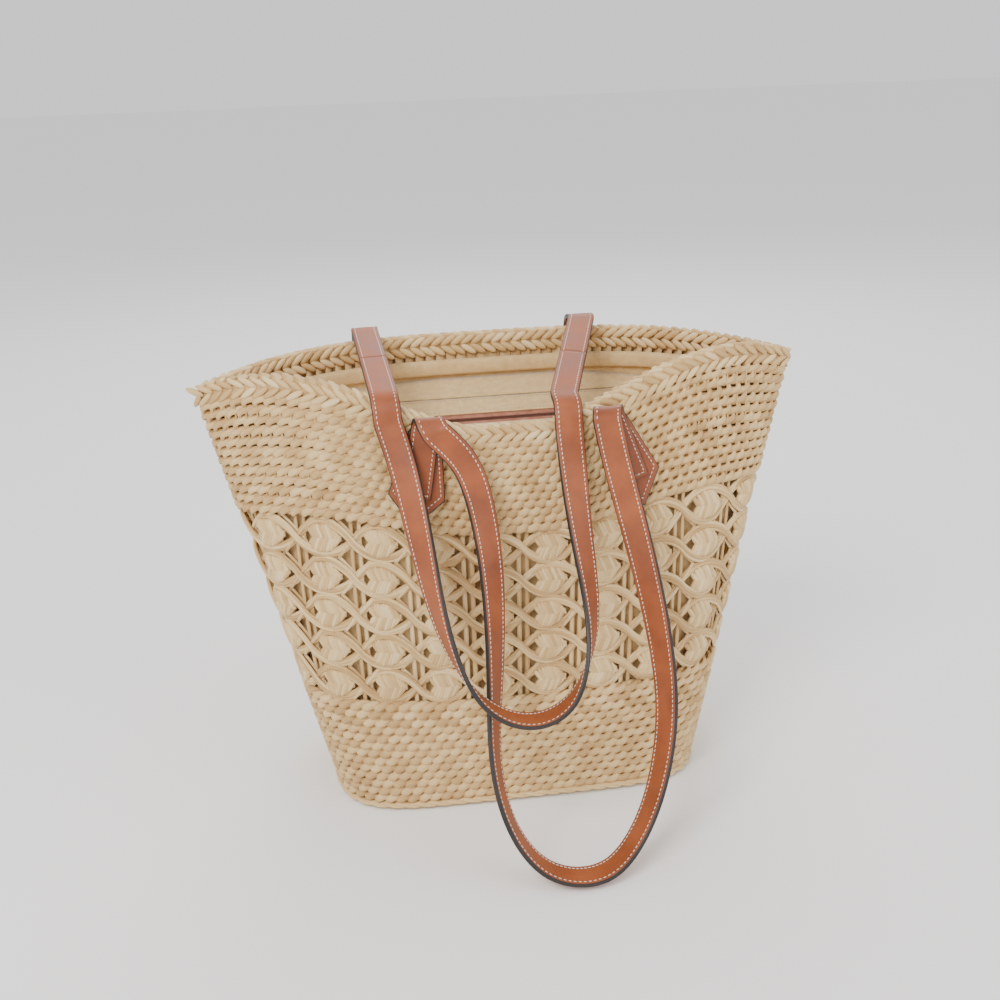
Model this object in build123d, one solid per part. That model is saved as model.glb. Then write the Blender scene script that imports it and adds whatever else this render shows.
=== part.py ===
"""Woven straw beach bag: twined and openwork walls, cotton lining, recessed top zip, leather straps.

Frame: millimetres, +Z up, +X along the long side, -Y to the front.
The origin is the centre of the flat base, on the surface that the bag stands on.
"""
from build123d import *
from math import atan2, cos, degrees, pi, radians, sin
import os

os.makedirs("parts", exist_ok=True)

# ---- driving dimensions -------------------------------------------------------------------

# Plan and height of the woven body
RIM_HALF_WIDTH = 240.0
BASE_HALF_WIDTH = 153.0
BASE_HALF_DEPTH = 96.0
RIM_FRONT_DEPTH = 46.0
RIM_BACK_DEPTH = 93.0
RIM_SETBACK = -18.0
CORNER_HEIGHT = 348.0

# Rim line above or below the corner height
FRONT_SHOULDER = 22.0
FRONT_DIP = 60.0
BACK_RISE = 10.0
ROW_SAG = 9.0
FOLLOW_RIM = 0.6

# Wall build-up
WEAVE = 8.0
BRAID_PROUD = 1.5
BRAID_THICKNESS = 11.0
LINING_GAP = 0.4
LINING = 1.5
HEM = 3.0
BASE_THICKNESS = 8.0

# Bands of the wall, as shares of the height at any place round the bag
OPENWORK_START = 0.287
OPENWORK_END = 0.715
OPENWORK_ROWS = 5
BRAID_START = 0.955
HEM_START = 0.910
HEM_END = 0.945

# Recessed zip closure, in a plane that slopes down to the front
ZIP_DEPTH = 5.0
ZIP_HEIGHT = 299.0
ZIP_SLOPE = 18.0
FACING = 1.5
FLAP_HALF_LENGTH = 165.0
BACK_FLAP_WIDTH = 34.0
FRONT_FLAP_WIDTH = 30.0
FLAP_CLEARANCE = 0.8
TAPE_HALF_WIDTH = 12.0
TAPE = 0.8
COIL_INNER = 1.0
COIL_WIDTH = 1.2
COIL_HEIGHT = 1.8
ZIP_END_LENGTH = 18.0
STOP_LENGTH = 3.0
SLIDER_LENGTH = 11.0
SLIDER_HALF_WIDTH = 5.0
SLIDER_PLATE = 1.2
SLIDER_CLEARANCE = 0.35
WEDGE_HALF_WIDTH = 0.6
BAIL_HEIGHT = 3.6
BAIL_WIRE = 1.2
PULL_LENGTH = 26.0
PULL_WIDTH = 5.0
PULL_THICKNESS = 1.4
PULL_EYE = 7.2
PULL_EYE_BAR = 1.4

# Leather straps and tabs
STRAP_WIDTH = 22.0
STRAP = 3.5
TAB_HALF_WIDTH = 22.0
TAB_TOP_HALF_WIDTH = 13.0
TAB_ABOVE = 54.0
TAB_BELOW = 24.0
TAB = 2.6
TAB_STANDOFF = BRAID_PROUD + 1.7
LAYER_GAP = 0.3
JOINT_GAP = 0.3
STRAP_SECTIONS = 28
FOLD_SECTIONS = 7

# Strap routes: centreline points, left leg first, chosen by hand
FRONT_LEG = [
    (-57.0, -91.5, 318.0),
    (-39.0, -93.0, 296.0),
    (-28.0, -97.5, 262.0),
    (-23.5, -107.0, 222.0),
    (-23.5, -121.0, 178.0),
    (-27.5, -140.0, 130.0),
    (-31.5, -160.0, 89.5),
    (-29.0, -179.5, 56.0),
    (-18.5, -196.0, 30.0),
    (-1.0, -208.0, 13.0),
    (20.5, -213.0, 6.5),
    (44.0, -211.0, 8.5),
    (65.0, -201.0, 22.0),
    (82.0, -187.0, 44.0),
    (95.0, -170.0, 72.0),
    (103.0, -151.0, 107.0),
    (103.5, -134.0, 143.0),
    (98.5, -117.0, 187.0),
    (91.0, -104.5, 227.0),
    (82.5, -96.5, 265.0),
    (75.0, -92.5, 298.0),
    (71.0, -91.5, 318.0),
]
BACK_LEG = [
    (-91.5, -73.0, 321.0),
    (-86.5, -79.5, 303.0),
    (-79.5, -93.0, 269.0),
    (-73.0, -112.0, 228.0),
    (-65.5, -133.0, 188.0),
    (-55.0, -151.0, 157.0),
    (-41.0, -164.0, 135.0),
    (-21.5, -172.0, 122.0),
    (1.0, -174.0, 118.5),
    (22.5, -169.5, 126.0),
    (38.5, -158.0, 145.0),
    (47.0, -143.0, 171.0),
    (48.5, -128.0, 199.0),
    (47.0, -112.0, 229.0),
    (45.5, -96.5, 261.0),
    (45.0, -82.5, 291.0),
    (45.0, -75.0, 307.0),
]

# Tabs: x and z of the widest place, and the lean of the tip
TABS = {
    "front_left": (-74.0, 264.0, -10.0),
    "front_right": (95.0, 265.0, 19.0),
    "back_left": (-102.0, 284.0, 0.0),
    "back_right": (80.0, 284.0, 0.0),
}
SEWN_LOW = 0.0
SEWN_HIGH = 52.0

# Back strap over the back rim, from the sewn end, and over the front rim
BACK_ARCH = [(0.6, 9.0), (-0.2, 18.0), (-6.0, 27.0), (-15.0, 30.5), (-24.5, 30.2)]
FRONT_BEND = {
    "left": [(-94.5, -50.0, 344.6), (-93.8, -61.0, 341.8), (-92.7, -70.2, 333.0)],
    "right": [(46.0, -50.0, 332.5), (45.5, -61.0, 329.0), (45.2, -70.8, 319.5)],
}

# ---- shape of the woven wall --------------------------------------------------------------

LOFT_LEVELS = (0.02, 0.28, 0.54, 0.80, 1.06)
PLAN_ANGLES = (0, 9, 18, 28, 40, 54, 66, 76, 84, 90)
BASE_SQUARE = 6.0
BASE_CORNER = 3.2
RIM_FRONT_POWER = 2.2
RIM_BACK_POWER = 3.2
FRONT, BACK = -1, 1
REACH = 400.0
WALL_STEP = 20.0


def half_width(level):
    """Half the bag's outer width at a share of its height."""
    return BASE_HALF_WIDTH + (RIM_HALF_WIDTH - BASE_HALF_WIDTH) * level


def wall_y(side, share, level, inset=0.0):
    """Y of the wall at a share of the half width, drawn in by the inset."""
    lens = min(level, 1.0) ** 1.5
    share = min(abs(share), 1.0)
    oval = side * (BASE_HALF_DEPTH - inset) * (1 - share ** BASE_SQUARE) ** (1 / BASE_CORNER)
    if side == FRONT:
        mouth = RIM_SETBACK - (RIM_FRONT_DEPTH - inset) * (1 - share ** RIM_FRONT_POWER)
    else:
        mouth = RIM_SETBACK + (RIM_BACK_DEPTH - inset) * (1 - share ** RIM_BACK_POWER)
    return (1 - lens) * oval + lens * mouth


def outer_y(side, x, z):
    """Y of the outer face of the wall at a place on it."""
    level = z / CORNER_HEIGHT
    return wall_y(side, x / half_width(level), level)


def plan_wire(level, height, inset):
    """Closed plan outline of the wall at one height."""
    width = half_width(level) - inset * (1 + 0.9 * level ** 1.5)
    shares = [cos(radians(angle)) ** (2 / BASE_SQUARE) for angle in PLAN_ANGLES]
    shares = shares + [-share for share in reversed(shares[:-1])]
    edges = []
    for side in (FRONT, BACK):
        points = [(width * share, wall_y(side, share, level, inset), height) for share in shares]
        if side == BACK:
            points.reverse()
        edges.append(Edge.make_spline([Vector(*point) for point in points]))
    return Wire(edges)


def wall_volume(inset):
    """Everything inside the wall surface that lies at the inset."""
    wires = [plan_wire(level, level * CORNER_HEIGHT, inset) for level in LOFT_LEVELS]
    return Solid.make_loft(wires)


def rim_line(side, share):
    """Height of the rim above the corner height."""
    if side == BACK:
        return BACK_RISE * (1 - share ** 4)
    bell = (1 + cos(pi * share)) / 2
    return FRONT_SHOULDER * (1 - share ** 4) - FRONT_DIP * bell ** 1.3


def row_height(side, share, level):
    """Height of a weaving row, which sags a little and follows the rim in the upper part."""
    sag = ROW_SAG * sin(pi * min(level, 1.0)) * (1 - share ** 2)
    follow = level ** 3 if level > FOLLOW_RIM else 0.0
    return level * CORNER_HEIGHT + follow * rim_line(side, share) - sag


def row_face(side, level):
    """Upright face that fills everything below one weaving row."""
    width = half_width(level)
    shares = [step / 12 for step in range(-12, 13)]
    line = [(width * share, 0, row_height(side, share, level)) for share in shares]
    ends = [(REACH, 0, level * CORNER_HEIGHT), (REACH, 0, -REACH)]
    starts = [(-REACH, 0, -REACH), (-REACH, 0, level * CORNER_HEIGHT)]
    curve = Edge.make_spline([Vector(*point) for point in line])
    rest = Polyline(line[-1], *ends, *starts, line[0])
    return Face(Wire([curve] + rest.edges()))


def below_row(level):
    """Everything below one weaving row, for cutting the wall into bands."""
    corner = Location((0, RIM_SETBACK * level ** 1.5, 0))
    if level <= FOLLOW_RIM:
        return Solid.extrude(row_face(FRONT, level), Vector(0, 2 * REACH, 0)).moved(Location((0, -REACH, 0)))
    halves = [Solid.extrude(row_face(side, level), Vector(0, side * REACH, 0)) for side in (FRONT, BACK)]
    halves = [half.moved(corner) for half in halves]
    return halves[0].fuse(halves[1])


def band(shell, start, end):
    """The part of a shell between two rows."""
    piece = shell
    if end is not None:
        piece = piece & below_row(end)
    if start is not None:
        piece = piece - below_row(start)
    return piece


def above(height):
    """A block that fills everything above a height."""
    low_face = (Align.CENTER, Align.CENTER, Align.MIN)
    return Pos(0, 0, height) * Box(2 * REACH, 2 * REACH, 2 * REACH, align=low_face)


# ---- woven body ---------------------------------------------------------------------------


def base_weave():
    """Flat woven base with its rounded lower edge."""
    steps = ((0.0, 9.0), (1.5, 4.5), (4.0, 1.5), (BASE_THICKNESS, 0.0))
    wires = [plan_wire(height / CORNER_HEIGHT, height, inset) for height, inset in steps]
    return Solid.make_loft(wires, True)


def wall_shell():
    """The woven wall from the base to above the rim."""
    return (wall_volume(0.0) - wall_volume(WEAVE)) & above(BASE_THICKNESS)


def rim_braid():
    """Braided rim that caps the wall."""
    shell = wall_volume(-BRAID_PROUD) - wall_volume(BRAID_THICKNESS - BRAID_PROUD)
    return band(shell, BRAID_START, 1.0)


def lining_bag():
    """Cotton lining: a thin bag that hangs inside the wall and closes over the base."""
    outer = WEAVE + LINING_GAP
    floor_top = BASE_THICKNESS + LINING_GAP + LINING
    hollow = wall_volume(outer + LINING) & above(floor_top)
    shell = (wall_volume(outer) - hollow) & above(BASE_THICKNESS + LINING_GAP)
    return band(shell, None, HEM_END)


def lining_hem():
    """Padded hem round the top of the lining."""
    face = WEAVE + LINING_GAP + LINING
    return band(wall_volume(face) - wall_volume(face + HEM), HEM_START, HEM_END)


# ---- recessed zip -------------------------------------------------------------------------

ZIP_UP = (0, -sin(radians(ZIP_SLOPE)), cos(radians(ZIP_SLOPE)))
ZIP_PLANE = Plane(origin=(0, ZIP_DEPTH, ZIP_HEIGHT), x_dir=(1, 0, 0), z_dir=ZIP_UP)


def zip_block(x_low, x_high, v_low, v_high, n_low, n_high):
    """A block in the sloping plane of the zip: along it, across it and off it."""
    block = Box(x_high - x_low, v_high - v_low, n_high - n_low, align=(Align.MIN, Align.MIN, Align.MIN))
    return ZIP_PLANE * Pos(x_low, v_low, n_low) * block


def zip_facing():
    """Fixed cotton panel sewn round the inside of the lining, with the opening for the flaps."""
    reach = 300.0
    panel = zip_block(-reach, reach, -reach, reach, -FACING / 2, FACING / 2)
    panel = panel & wall_volume(WEAVE + LINING_GAP + LINING)
    half = FLAP_HALF_LENGTH + FLAP_CLEARANCE
    opening = zip_block(-half, half, -FRONT_FLAP_WIDTH, BACK_FLAP_WIDTH, -FACING, FACING)
    end = FLAP_HALF_LENGTH + ZIP_END_LENGTH
    slot = zip_block(-end, end, -TAPE_HALF_WIDTH, TAPE_HALF_WIDTH, -FACING, FACING)
    return panel - opening - slot


def flap(side):
    """Cotton flap between the facing and the zip tape, on one side of the zip."""
    width = BACK_FLAP_WIDTH if side == BACK else FRONT_FLAP_WIDTH
    outer = side * (width - 2 * FLAP_CLEARANCE)
    low, high = sorted((side * TAPE_HALF_WIDTH, outer))
    return zip_block(-FLAP_HALF_LENGTH, FLAP_HALF_LENGTH, low, high, -FACING / 2, FACING / 2)


def tape(side, x_low, x_high):
    """Woven zip tape on one side of the zip."""
    low, high = sorted((side * (COIL_INNER + COIL_WIDTH), side * TAPE_HALF_WIDTH))
    return zip_block(x_low, x_high, low, high, -TAPE / 2, TAPE / 2)


def coil(side, x_low, x_high):
    """Row of zip teeth on the edge of one tape."""
    low, high = sorted((side * COIL_INNER, side * (COIL_INNER + COIL_WIDTH)))
    return zip_block(x_low, x_high, low, high, -COIL_HEIGHT / 2, COIL_HEIGHT / 2)


def zip_end(side):
    """Tape end that is sewn to the facing, where the slider parks."""
    start = FLAP_HALF_LENGTH + FLAP_CLEARANCE
    end = FLAP_HALF_LENGTH + ZIP_END_LENGTH
    x_low, x_high = sorted((side * start, side * end))
    stop_low, stop_high = sorted((side * (end - STOP_LENGTH), side * end))
    halves = [tape(half, x_low, x_high) + coil(half, x_low, x_high) for half in (FRONT, BACK)]
    width = COIL_INNER + COIL_WIDTH
    stop = zip_block(stop_low, stop_high, -width, width, -COIL_HEIGHT / 2, COIL_HEIGHT / 2)
    return halves[0] + halves[1] + stop


SLIDER_X = FLAP_HALF_LENGTH + FLAP_CLEARANCE + 0.6 + SLIDER_LENGTH / 2
SLIDER_TOP = COIL_HEIGHT / 2 + SLIDER_CLEARANCE + SLIDER_PLATE


def zip_slider():
    """Slider: two plates joined by a wedge, with a wire bail on top, parked at the left end."""
    left = -SLIDER_X - SLIDER_LENGTH / 2
    right = -SLIDER_X + SLIDER_LENGTH / 2
    inner = COIL_HEIGHT / 2 + SLIDER_CLEARANCE
    top = zip_block(left, right, -SLIDER_HALF_WIDTH, SLIDER_HALF_WIDTH, inner, SLIDER_TOP)
    bottom = zip_block(left, right, -SLIDER_HALF_WIDTH, SLIDER_HALF_WIDTH, -SLIDER_TOP, -inner)
    wedge = zip_block(left, left + 4, -WEDGE_HALF_WIDTH, WEDGE_HALF_WIDTH, -SLIDER_TOP, SLIDER_TOP)
    reach = SLIDER_LENGTH / 2 - 1
    bail = zip_block(-SLIDER_X - reach, -SLIDER_X + reach, -1, 1, SLIDER_TOP, SLIDER_TOP + BAIL_HEIGHT)
    window = reach - BAIL_WIRE
    gap = zip_block(
        -SLIDER_X - window, -SLIDER_X + window, -2, 2, SLIDER_TOP, SLIDER_TOP + BAIL_HEIGHT - BAIL_WIRE
    )
    return top + bottom + wedge + (bail - gap)


def zip_puller():
    """Flat puller with an eye round the slider's bail, lying along the zip."""
    low = SLIDER_TOP + 0.3
    high = low + PULL_THICKNESS
    eye = zip_block(-SLIDER_X - 0.6, -SLIDER_X + PULL_EYE, -PULL_WIDTH / 2, PULL_WIDTH / 2, low, high)
    hole_end = -SLIDER_X + PULL_EYE - PULL_EYE_BAR
    hole = zip_block(-SLIDER_X + 0.6, hole_end, -1.3, 1.3, low - 1, high + 1)
    start = -SLIDER_X + PULL_EYE
    blade = zip_block(start, start + PULL_LENGTH, -PULL_WIDTH / 2, PULL_WIDTH / 2, low, high)
    return eye - hole + blade


# ---- leather ------------------------------------------------------------------------------


def wall_run(side, x, z):
    """Level direction along the wall at a place on it."""
    return Vector(2 * WALL_STEP, outer_y(side, x + WALL_STEP, z) - outer_y(side, x - WALL_STEP, z), 0)


def tab_side(name):
    """Side of the bag that a tab is on."""
    return FRONT if name.startswith("front") else BACK


def tab_turn(name):
    """Turn of a strap that lies flat on a tab."""
    x, z, lean = TABS[name]
    along = wall_run(tab_side(name), x, z)
    return degrees(atan2(along.Y, along.X))


def tab_plane(name):
    """Plane on the outer face of the wall: y up the tab, z outwards."""
    side = tab_side(name)
    x, z, lean = TABS[name]
    step = WALL_STEP
    point = Vector(x, outer_y(side, x, z), z)
    along = wall_run(side, x, z)
    up = Vector(0, outer_y(side, x, z + step) - outer_y(side, x, z - step), 2 * step)
    normal = along.cross(up).normalized() * (-side)
    return Plane(origin=point, x_dir=along * (-side), z_dir=normal) * Rot(0, 0, lean)


def tab(name):
    """Pointed leather tab that holds a strap end, on the outside of the wall."""
    round_top = 8.0
    outline = Polyline(
        (-TAB_TOP_HALF_WIDTH, TAB_ABOVE),
        (-TAB_HALF_WIDTH, 0),
        (0, -TAB_BELOW),
        (TAB_HALF_WIDTH, 0),
        (TAB_TOP_HALF_WIDTH, TAB_ABOVE),
        close=True,
    )
    sketch = make_face(outline)
    tops = sketch.vertices().sort_by(Axis.Y)[-2:]
    sketch = fillet(tops, round_top)
    return tab_plane(name) * Pos(0, 0, TAB_STANDOFF) * extrude(sketch, TAB)


def sewn_line(name):
    """Lower and upper centre of the strap end that is sewn on a tab."""
    off = TAB_STANDOFF + TAB + LAYER_GAP + STRAP / 2
    place = tab_plane(name)
    return [(place * Pos(0, up, off)).position for up in (SEWN_LOW, SEWN_HIGH)]


def strap_section(point, tangent, turn):
    """Rectangular cross-section of a strap; the turn swings its width round from the side to the front."""
    tangent = tangent.normalized()
    width = Vector(-cos(radians(turn)), -sin(radians(turn)), 0)
    width = (width - tangent * width.dot(tangent)).normalized()
    face = tangent.cross(width)
    half_w = width * (STRAP_WIDTH / 2)
    half_t = face * (STRAP / 2)
    inner = [point - half_w - half_t, point + half_w - half_t]
    outer = [point + half_w + half_t, point - half_w + half_t]
    corners = inner + outer
    return Wire.make_polygon(corners, close=True)


def strap_solid(path, sections, turn_at, start=0.0, end=1.0):
    """A strap along a path, with its turn given as a function of the share of the path."""
    wires = []
    for step in range(sections + 1):
        share = start + (end - start) * step / sections
        wires.append(strap_section(path @ share, path % share, turn_at(share)))
    return Solid.make_loft(wires, True)


def leg_turn(direction):
    """Turn of a hanging loop, from facing front at one end to facing front at the other."""

    def turn(share):
        half = 1 - abs(1 - 2 * share) ** 1.3
        quarter = 90 * half if share <= 0.5 else 180 - 90 * half
        return direction * quarter

    return turn


def sewn_end(name):
    """Strap end sewn flat on its tab."""
    low, high = sewn_line(name)
    path = Line(low, high - (high - low).normalized() * JOINT_GAP)
    return strap_solid(path, 1, lambda share: tab_turn(name))


def flat(share):
    """Turn of a stretch that keeps its width along the bag."""
    return 0


FRONT_PATH = Spline(*FRONT_LEG)
BACK_PATH = Spline(*BACK_LEG)
CROWN_RISE = 11.0


def front_fold(name):
    """Bend of the front strap, from the sewn end up over to the hanging loop."""
    low, high = sewn_line("front_" + name)
    share = 0.0 if name == "left" else 1.0
    end = FRONT_PATH @ share
    leaving = FRONT_PATH % share * (1 if name == "left" else -1)
    middle = (high + end) / 2
    crown = Vector(middle.X - 1.5, middle.Y, high.Z + CROWN_RISE)
    path = Spline(high, crown, end, tangents=[(high - low).normalized(), leaving.normalized()])
    return strap_solid(path, FOLD_SECTIONS, lambda share: tab_turn("front_" + name) * (1 - share))


def back_fold(name):
    """Bend of the back strap over the back rim."""
    low, high = sewn_line("back_" + name)
    points = [high] + [high + Vector(0, *step) for step in BACK_ARCH]
    start, end = bridge_ends(name)
    path = Spline(*points, tangents=[(high - low).normalized(), (end - start).normalized()])
    return strap_solid(path, FOLD_SECTIONS, lambda share: tab_turn("back_" + name) * (1 - share))


def bridge_ends(name):
    """Both ends of the stretch that crosses the mouth."""
    start = sewn_line("back_" + name)[1] + Vector(0, *BACK_ARCH[-1])
    return start, Vector(*FRONT_BEND[name][0])


def back_bridge(name):
    """Stretch of the back strap that crosses the mouth, from the back rim to the front rim."""
    start, end = bridge_ends(name)
    path = Line(start, end - (end - start).normalized() * JOINT_GAP)
    return strap_solid(path, 1, flat)


def front_bend(name):
    """Bend of the back strap over the front rim."""
    start, end = bridge_ends(name)
    points = [Vector(*point) for point in FRONT_BEND[name]]
    share = 0.0 if name == "left" else 1.0
    points.append(BACK_PATH @ share)
    leaving = BACK_PATH % share * (1 if name == "left" else -1)
    path = Spline(*points, tangents=[(end - start).normalized(), leaving.normalized()])
    return strap_solid(path, FOLD_SECTIONS, flat)


# ---- the bag ------------------------------------------------------------------------------


def build_parts():
    """Every node of the bag, by name."""
    parts = {"base_weave": base_weave(), "rim_braid": rim_braid()}
    shell = wall_shell()
    parts["lower_weave"] = band(shell, None, OPENWORK_START)
    pitch = (OPENWORK_END - OPENWORK_START) / OPENWORK_ROWS
    for row in range(OPENWORK_ROWS):
        start = OPENWORK_START + row * pitch
        parts[f"openwork_row_{row + 1}"] = band(shell, start, start + pitch)
    parts["upper_weave"] = band(shell, OPENWORK_END, BRAID_START)
    parts["lining_bag"] = lining_bag()
    parts["lining_hem"] = lining_hem()
    parts["zip_facing"] = zip_facing()
    for name, side in (("front", FRONT), ("back", BACK)):
        parts[f"{name}_flap"] = flap(side)
        parts[f"{name}_zip_tape"] = tape(side, -FLAP_HALF_LENGTH, FLAP_HALF_LENGTH)
        parts[f"{name}_zip_teeth"] = coil(side, -FLAP_HALF_LENGTH, FLAP_HALF_LENGTH)
    parts["zip_end_left"] = zip_end(-1)
    parts["zip_end_right"] = zip_end(1)
    parts["zip_slider"] = zip_slider()
    parts["zip_puller"] = zip_puller()
    for name in ("left", "right"):
        for side in ("front", "back"):
            parts[f"{side}_tab_{name}"] = tab(f"{side}_{name}")
            parts[f"{side}_strap_end_{name}"] = sewn_end(f"{side}_{name}")
        parts[f"front_strap_fold_{name}"] = front_fold(name)
        parts[f"back_strap_fold_{name}"] = back_fold(name)
        parts[f"back_strap_bridge_{name}"] = back_bridge(name)
        parts[f"back_strap_bend_{name}"] = front_bend(name)
    parts["front_strap_loop"] = strap_solid(FRONT_PATH, STRAP_SECTIONS, leg_turn(1))
    parts["back_strap_loop"] = strap_solid(BACK_PATH, STRAP_SECTIONS, leg_turn(-1))
    return parts


for node, shape in build_parts().items():
    export_step(shape, f"parts/{node}.step")
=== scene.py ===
"""Woven straw beach bag with leather straps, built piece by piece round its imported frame."""

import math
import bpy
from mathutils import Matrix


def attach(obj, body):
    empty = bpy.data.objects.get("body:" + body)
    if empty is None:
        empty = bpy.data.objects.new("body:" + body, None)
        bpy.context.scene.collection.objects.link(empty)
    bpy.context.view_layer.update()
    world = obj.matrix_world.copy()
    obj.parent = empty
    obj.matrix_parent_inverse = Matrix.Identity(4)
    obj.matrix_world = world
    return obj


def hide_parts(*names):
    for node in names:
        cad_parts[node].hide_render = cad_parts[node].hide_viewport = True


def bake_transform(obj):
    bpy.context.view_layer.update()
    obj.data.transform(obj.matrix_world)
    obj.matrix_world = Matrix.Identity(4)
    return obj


bl_info = {
    "name": "Straw Beach Bag",
    "version": (1, 0, 0),
    "blender": (4, 5, 0),
    "location": "View3D > Sidebar > Beach Bag",
    "description": "Builds a woven straw beach bag with its lining, zip and leather straps",
    "category": "Add Mesh",
}

import bmesh
import bpy
import numpy as np
from bpy.props import FloatProperty, IntProperty, PointerProperty
from mathutils import Matrix, Vector

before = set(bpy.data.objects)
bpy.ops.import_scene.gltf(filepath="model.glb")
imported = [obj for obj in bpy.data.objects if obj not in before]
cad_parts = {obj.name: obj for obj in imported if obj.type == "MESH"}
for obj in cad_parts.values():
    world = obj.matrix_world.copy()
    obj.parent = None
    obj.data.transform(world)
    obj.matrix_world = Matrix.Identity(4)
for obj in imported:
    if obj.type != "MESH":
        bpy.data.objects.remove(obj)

# ---- shape of the bag, in millimetres -------------------------------------------------------

RIM_HALF_WIDTH = 240.0
BASE_HALF_WIDTH = 153.0
BASE_HALF_DEPTH = 96.0
RIM_FRONT_DEPTH = 46.0
RIM_BACK_DEPTH = 93.0
RIM_SETBACK = -18.0
CORNER_HEIGHT = 348.0
FRONT_SHOULDER = 22.0
FRONT_DIP = 60.0
BACK_RISE = 10.0
ROW_SAG = 9.0
OPENWORK_START = 0.287
OPENWORK_END = 0.715
OPENWORK_ROWS = 5
BRAID_START = 0.955
HEM_START = 0.910
HEM_END = 0.945
ZIP_DEPTH = 5.0
ZIP_HEIGHT = 299.0
ZIP_SLOPE = math.radians(18.0)
FLAP_HALF_LENGTH = 165.0
BACK_FLAP_WIDTH = 34.0
FRONT_FLAP_WIDTH = 30.0
TAPE_HALF_WIDTH = 12.0
STRAP = 3.5
TAB = 2.6
TAB_STANDOFF = 3.2
STITCH_SIZE = (1.25, 0.42, 0.34)
STITCH_EDGE = 7.9
STRAP_FACE = 1.72
EDGE_FROM = 10.0
LAYER_GAP = 0.3
CROWN_RISE = 11.0
FRONT, BACK = -1, 1

FRONT_LEG = [
    (-57.0, -91.5, 318.0), (-39.0, -93.0, 296.0), (-28.0, -97.5, 262.0), (-23.5, -107.0, 222.0),
    (-23.5, -121.0, 178.0), (-27.5, -140.0, 130.0), (-31.5, -160.0, 89.5), (-29.0, -179.5, 56.0),
    (-18.5, -196.0, 30.0), (-1.0, -208.0, 13.0), (20.5, -213.0, 6.5), (44.0, -211.0, 8.5),
    (65.0, -201.0, 22.0), (82.0, -187.0, 44.0), (95.0, -170.0, 72.0), (103.0, -151.0, 107.0),
    (103.5, -134.0, 143.0), (98.5, -117.0, 187.0), (91.0, -104.5, 227.0), (82.5, -96.5, 265.0),
    (75.0, -92.5, 298.0), (71.0, -91.5, 318.0),
]
BACK_LEG = [
    (-91.5, -73.0, 321.0), (-86.5, -79.5, 303.0), (-79.5, -93.0, 269.0), (-73.0, -112.0, 228.0),
    (-65.5, -133.0, 188.0), (-55.0, -151.0, 157.0), (-41.0, -164.0, 135.0), (-21.5, -172.0, 122.0),
    (1.0, -174.0, 118.5), (22.5, -169.5, 126.0), (38.5, -158.0, 145.0), (47.0, -143.0, 171.0),
    (48.5, -128.0, 199.0), (47.0, -112.0, 229.0), (45.5, -96.5, 261.0), (45.0, -82.5, 291.0),
    (45.0, -75.0, 307.0),
]
TABS = {
    "front_left": (-74.0, 264.0, -10.0),
    "front_right": (95.0, 265.0, 19.0),
    "back_left": (-102.0, 284.0, 0.0),
    "back_right": (80.0, 284.0, 0.0),
}
BACK_ARCH = [(0.6, 9.0), (-0.2, 18.0), (-6.0, 27.0), (-15.0, 30.5), (-24.5, 30.2)]
FRONT_BEND = {
    "left": [(-94.5, -50.0, 344.6), (-93.8, -61.0, 341.8), (-92.7, -70.2, 333.0)],
    "right": [(46.0, -50.0, 332.5), (45.5, -61.0, 329.0), (45.2, -70.8, 319.5)],
}

# ---- wall surface ---------------------------------------------------------------------------

LEVEL_STEPS = 61
AROUND_STEPS = 720
TOP_LEVEL = 1.02


def half_width(level):
    """Half the bag's outer width at a share of its height."""
    return BASE_HALF_WIDTH + (RIM_HALF_WIDTH - BASE_HALF_WIDTH) * level


def wall_y(side, share, level, inset=0.0):
    """Y of the wall at a share of the half width, drawn in by the inset."""
    lens = np.minimum(np.maximum(level, 0.0), 1.0) ** 1.5
    share = np.minimum(np.abs(share), 1.0)
    oval = side * (BASE_HALF_DEPTH - inset) * (1 - share ** 6.0) ** (1 / 3.2)
    front = RIM_SETBACK - (RIM_FRONT_DEPTH - inset) * (1 - share ** 2.2)
    back = RIM_SETBACK + (RIM_BACK_DEPTH - inset) * (1 - share ** 3.2)
    mouth = np.where(side < 0, front, back)
    return (1 - lens) * oval + lens * mouth


def rim_line(side, share):
    """Height of the rim above the corner height."""
    bell = (1 + np.cos(np.pi * share)) / 2
    front = FRONT_SHOULDER * (1 - share ** 4) - FRONT_DIP * bell ** 1.3
    back = BACK_RISE * (1 - share ** 4)
    return np.where(side < 0, front, back)


def row_height(side, share, level):
    """Height of a weaving row, which follows the rim more and more towards the top."""
    sag = ROW_SAG * np.sin(np.pi * np.minimum(level, 1.0)) * (1 - share ** 2)
    return level * CORNER_HEIGHT + level ** 3 * rim_line(side, share) - sag


def surface_points(side, share, level, inset):
    """Places on the wall surface that lies at the inset."""
    height = row_height(side, share, level)
    real = height / CORNER_HEIGHT
    width = half_width(real) - inset * (1 + 0.9 * np.maximum(real, 0.0) ** 1.5)
    return np.stack([width * share, wall_y(side, share, real, inset), height], axis=-1)


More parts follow.
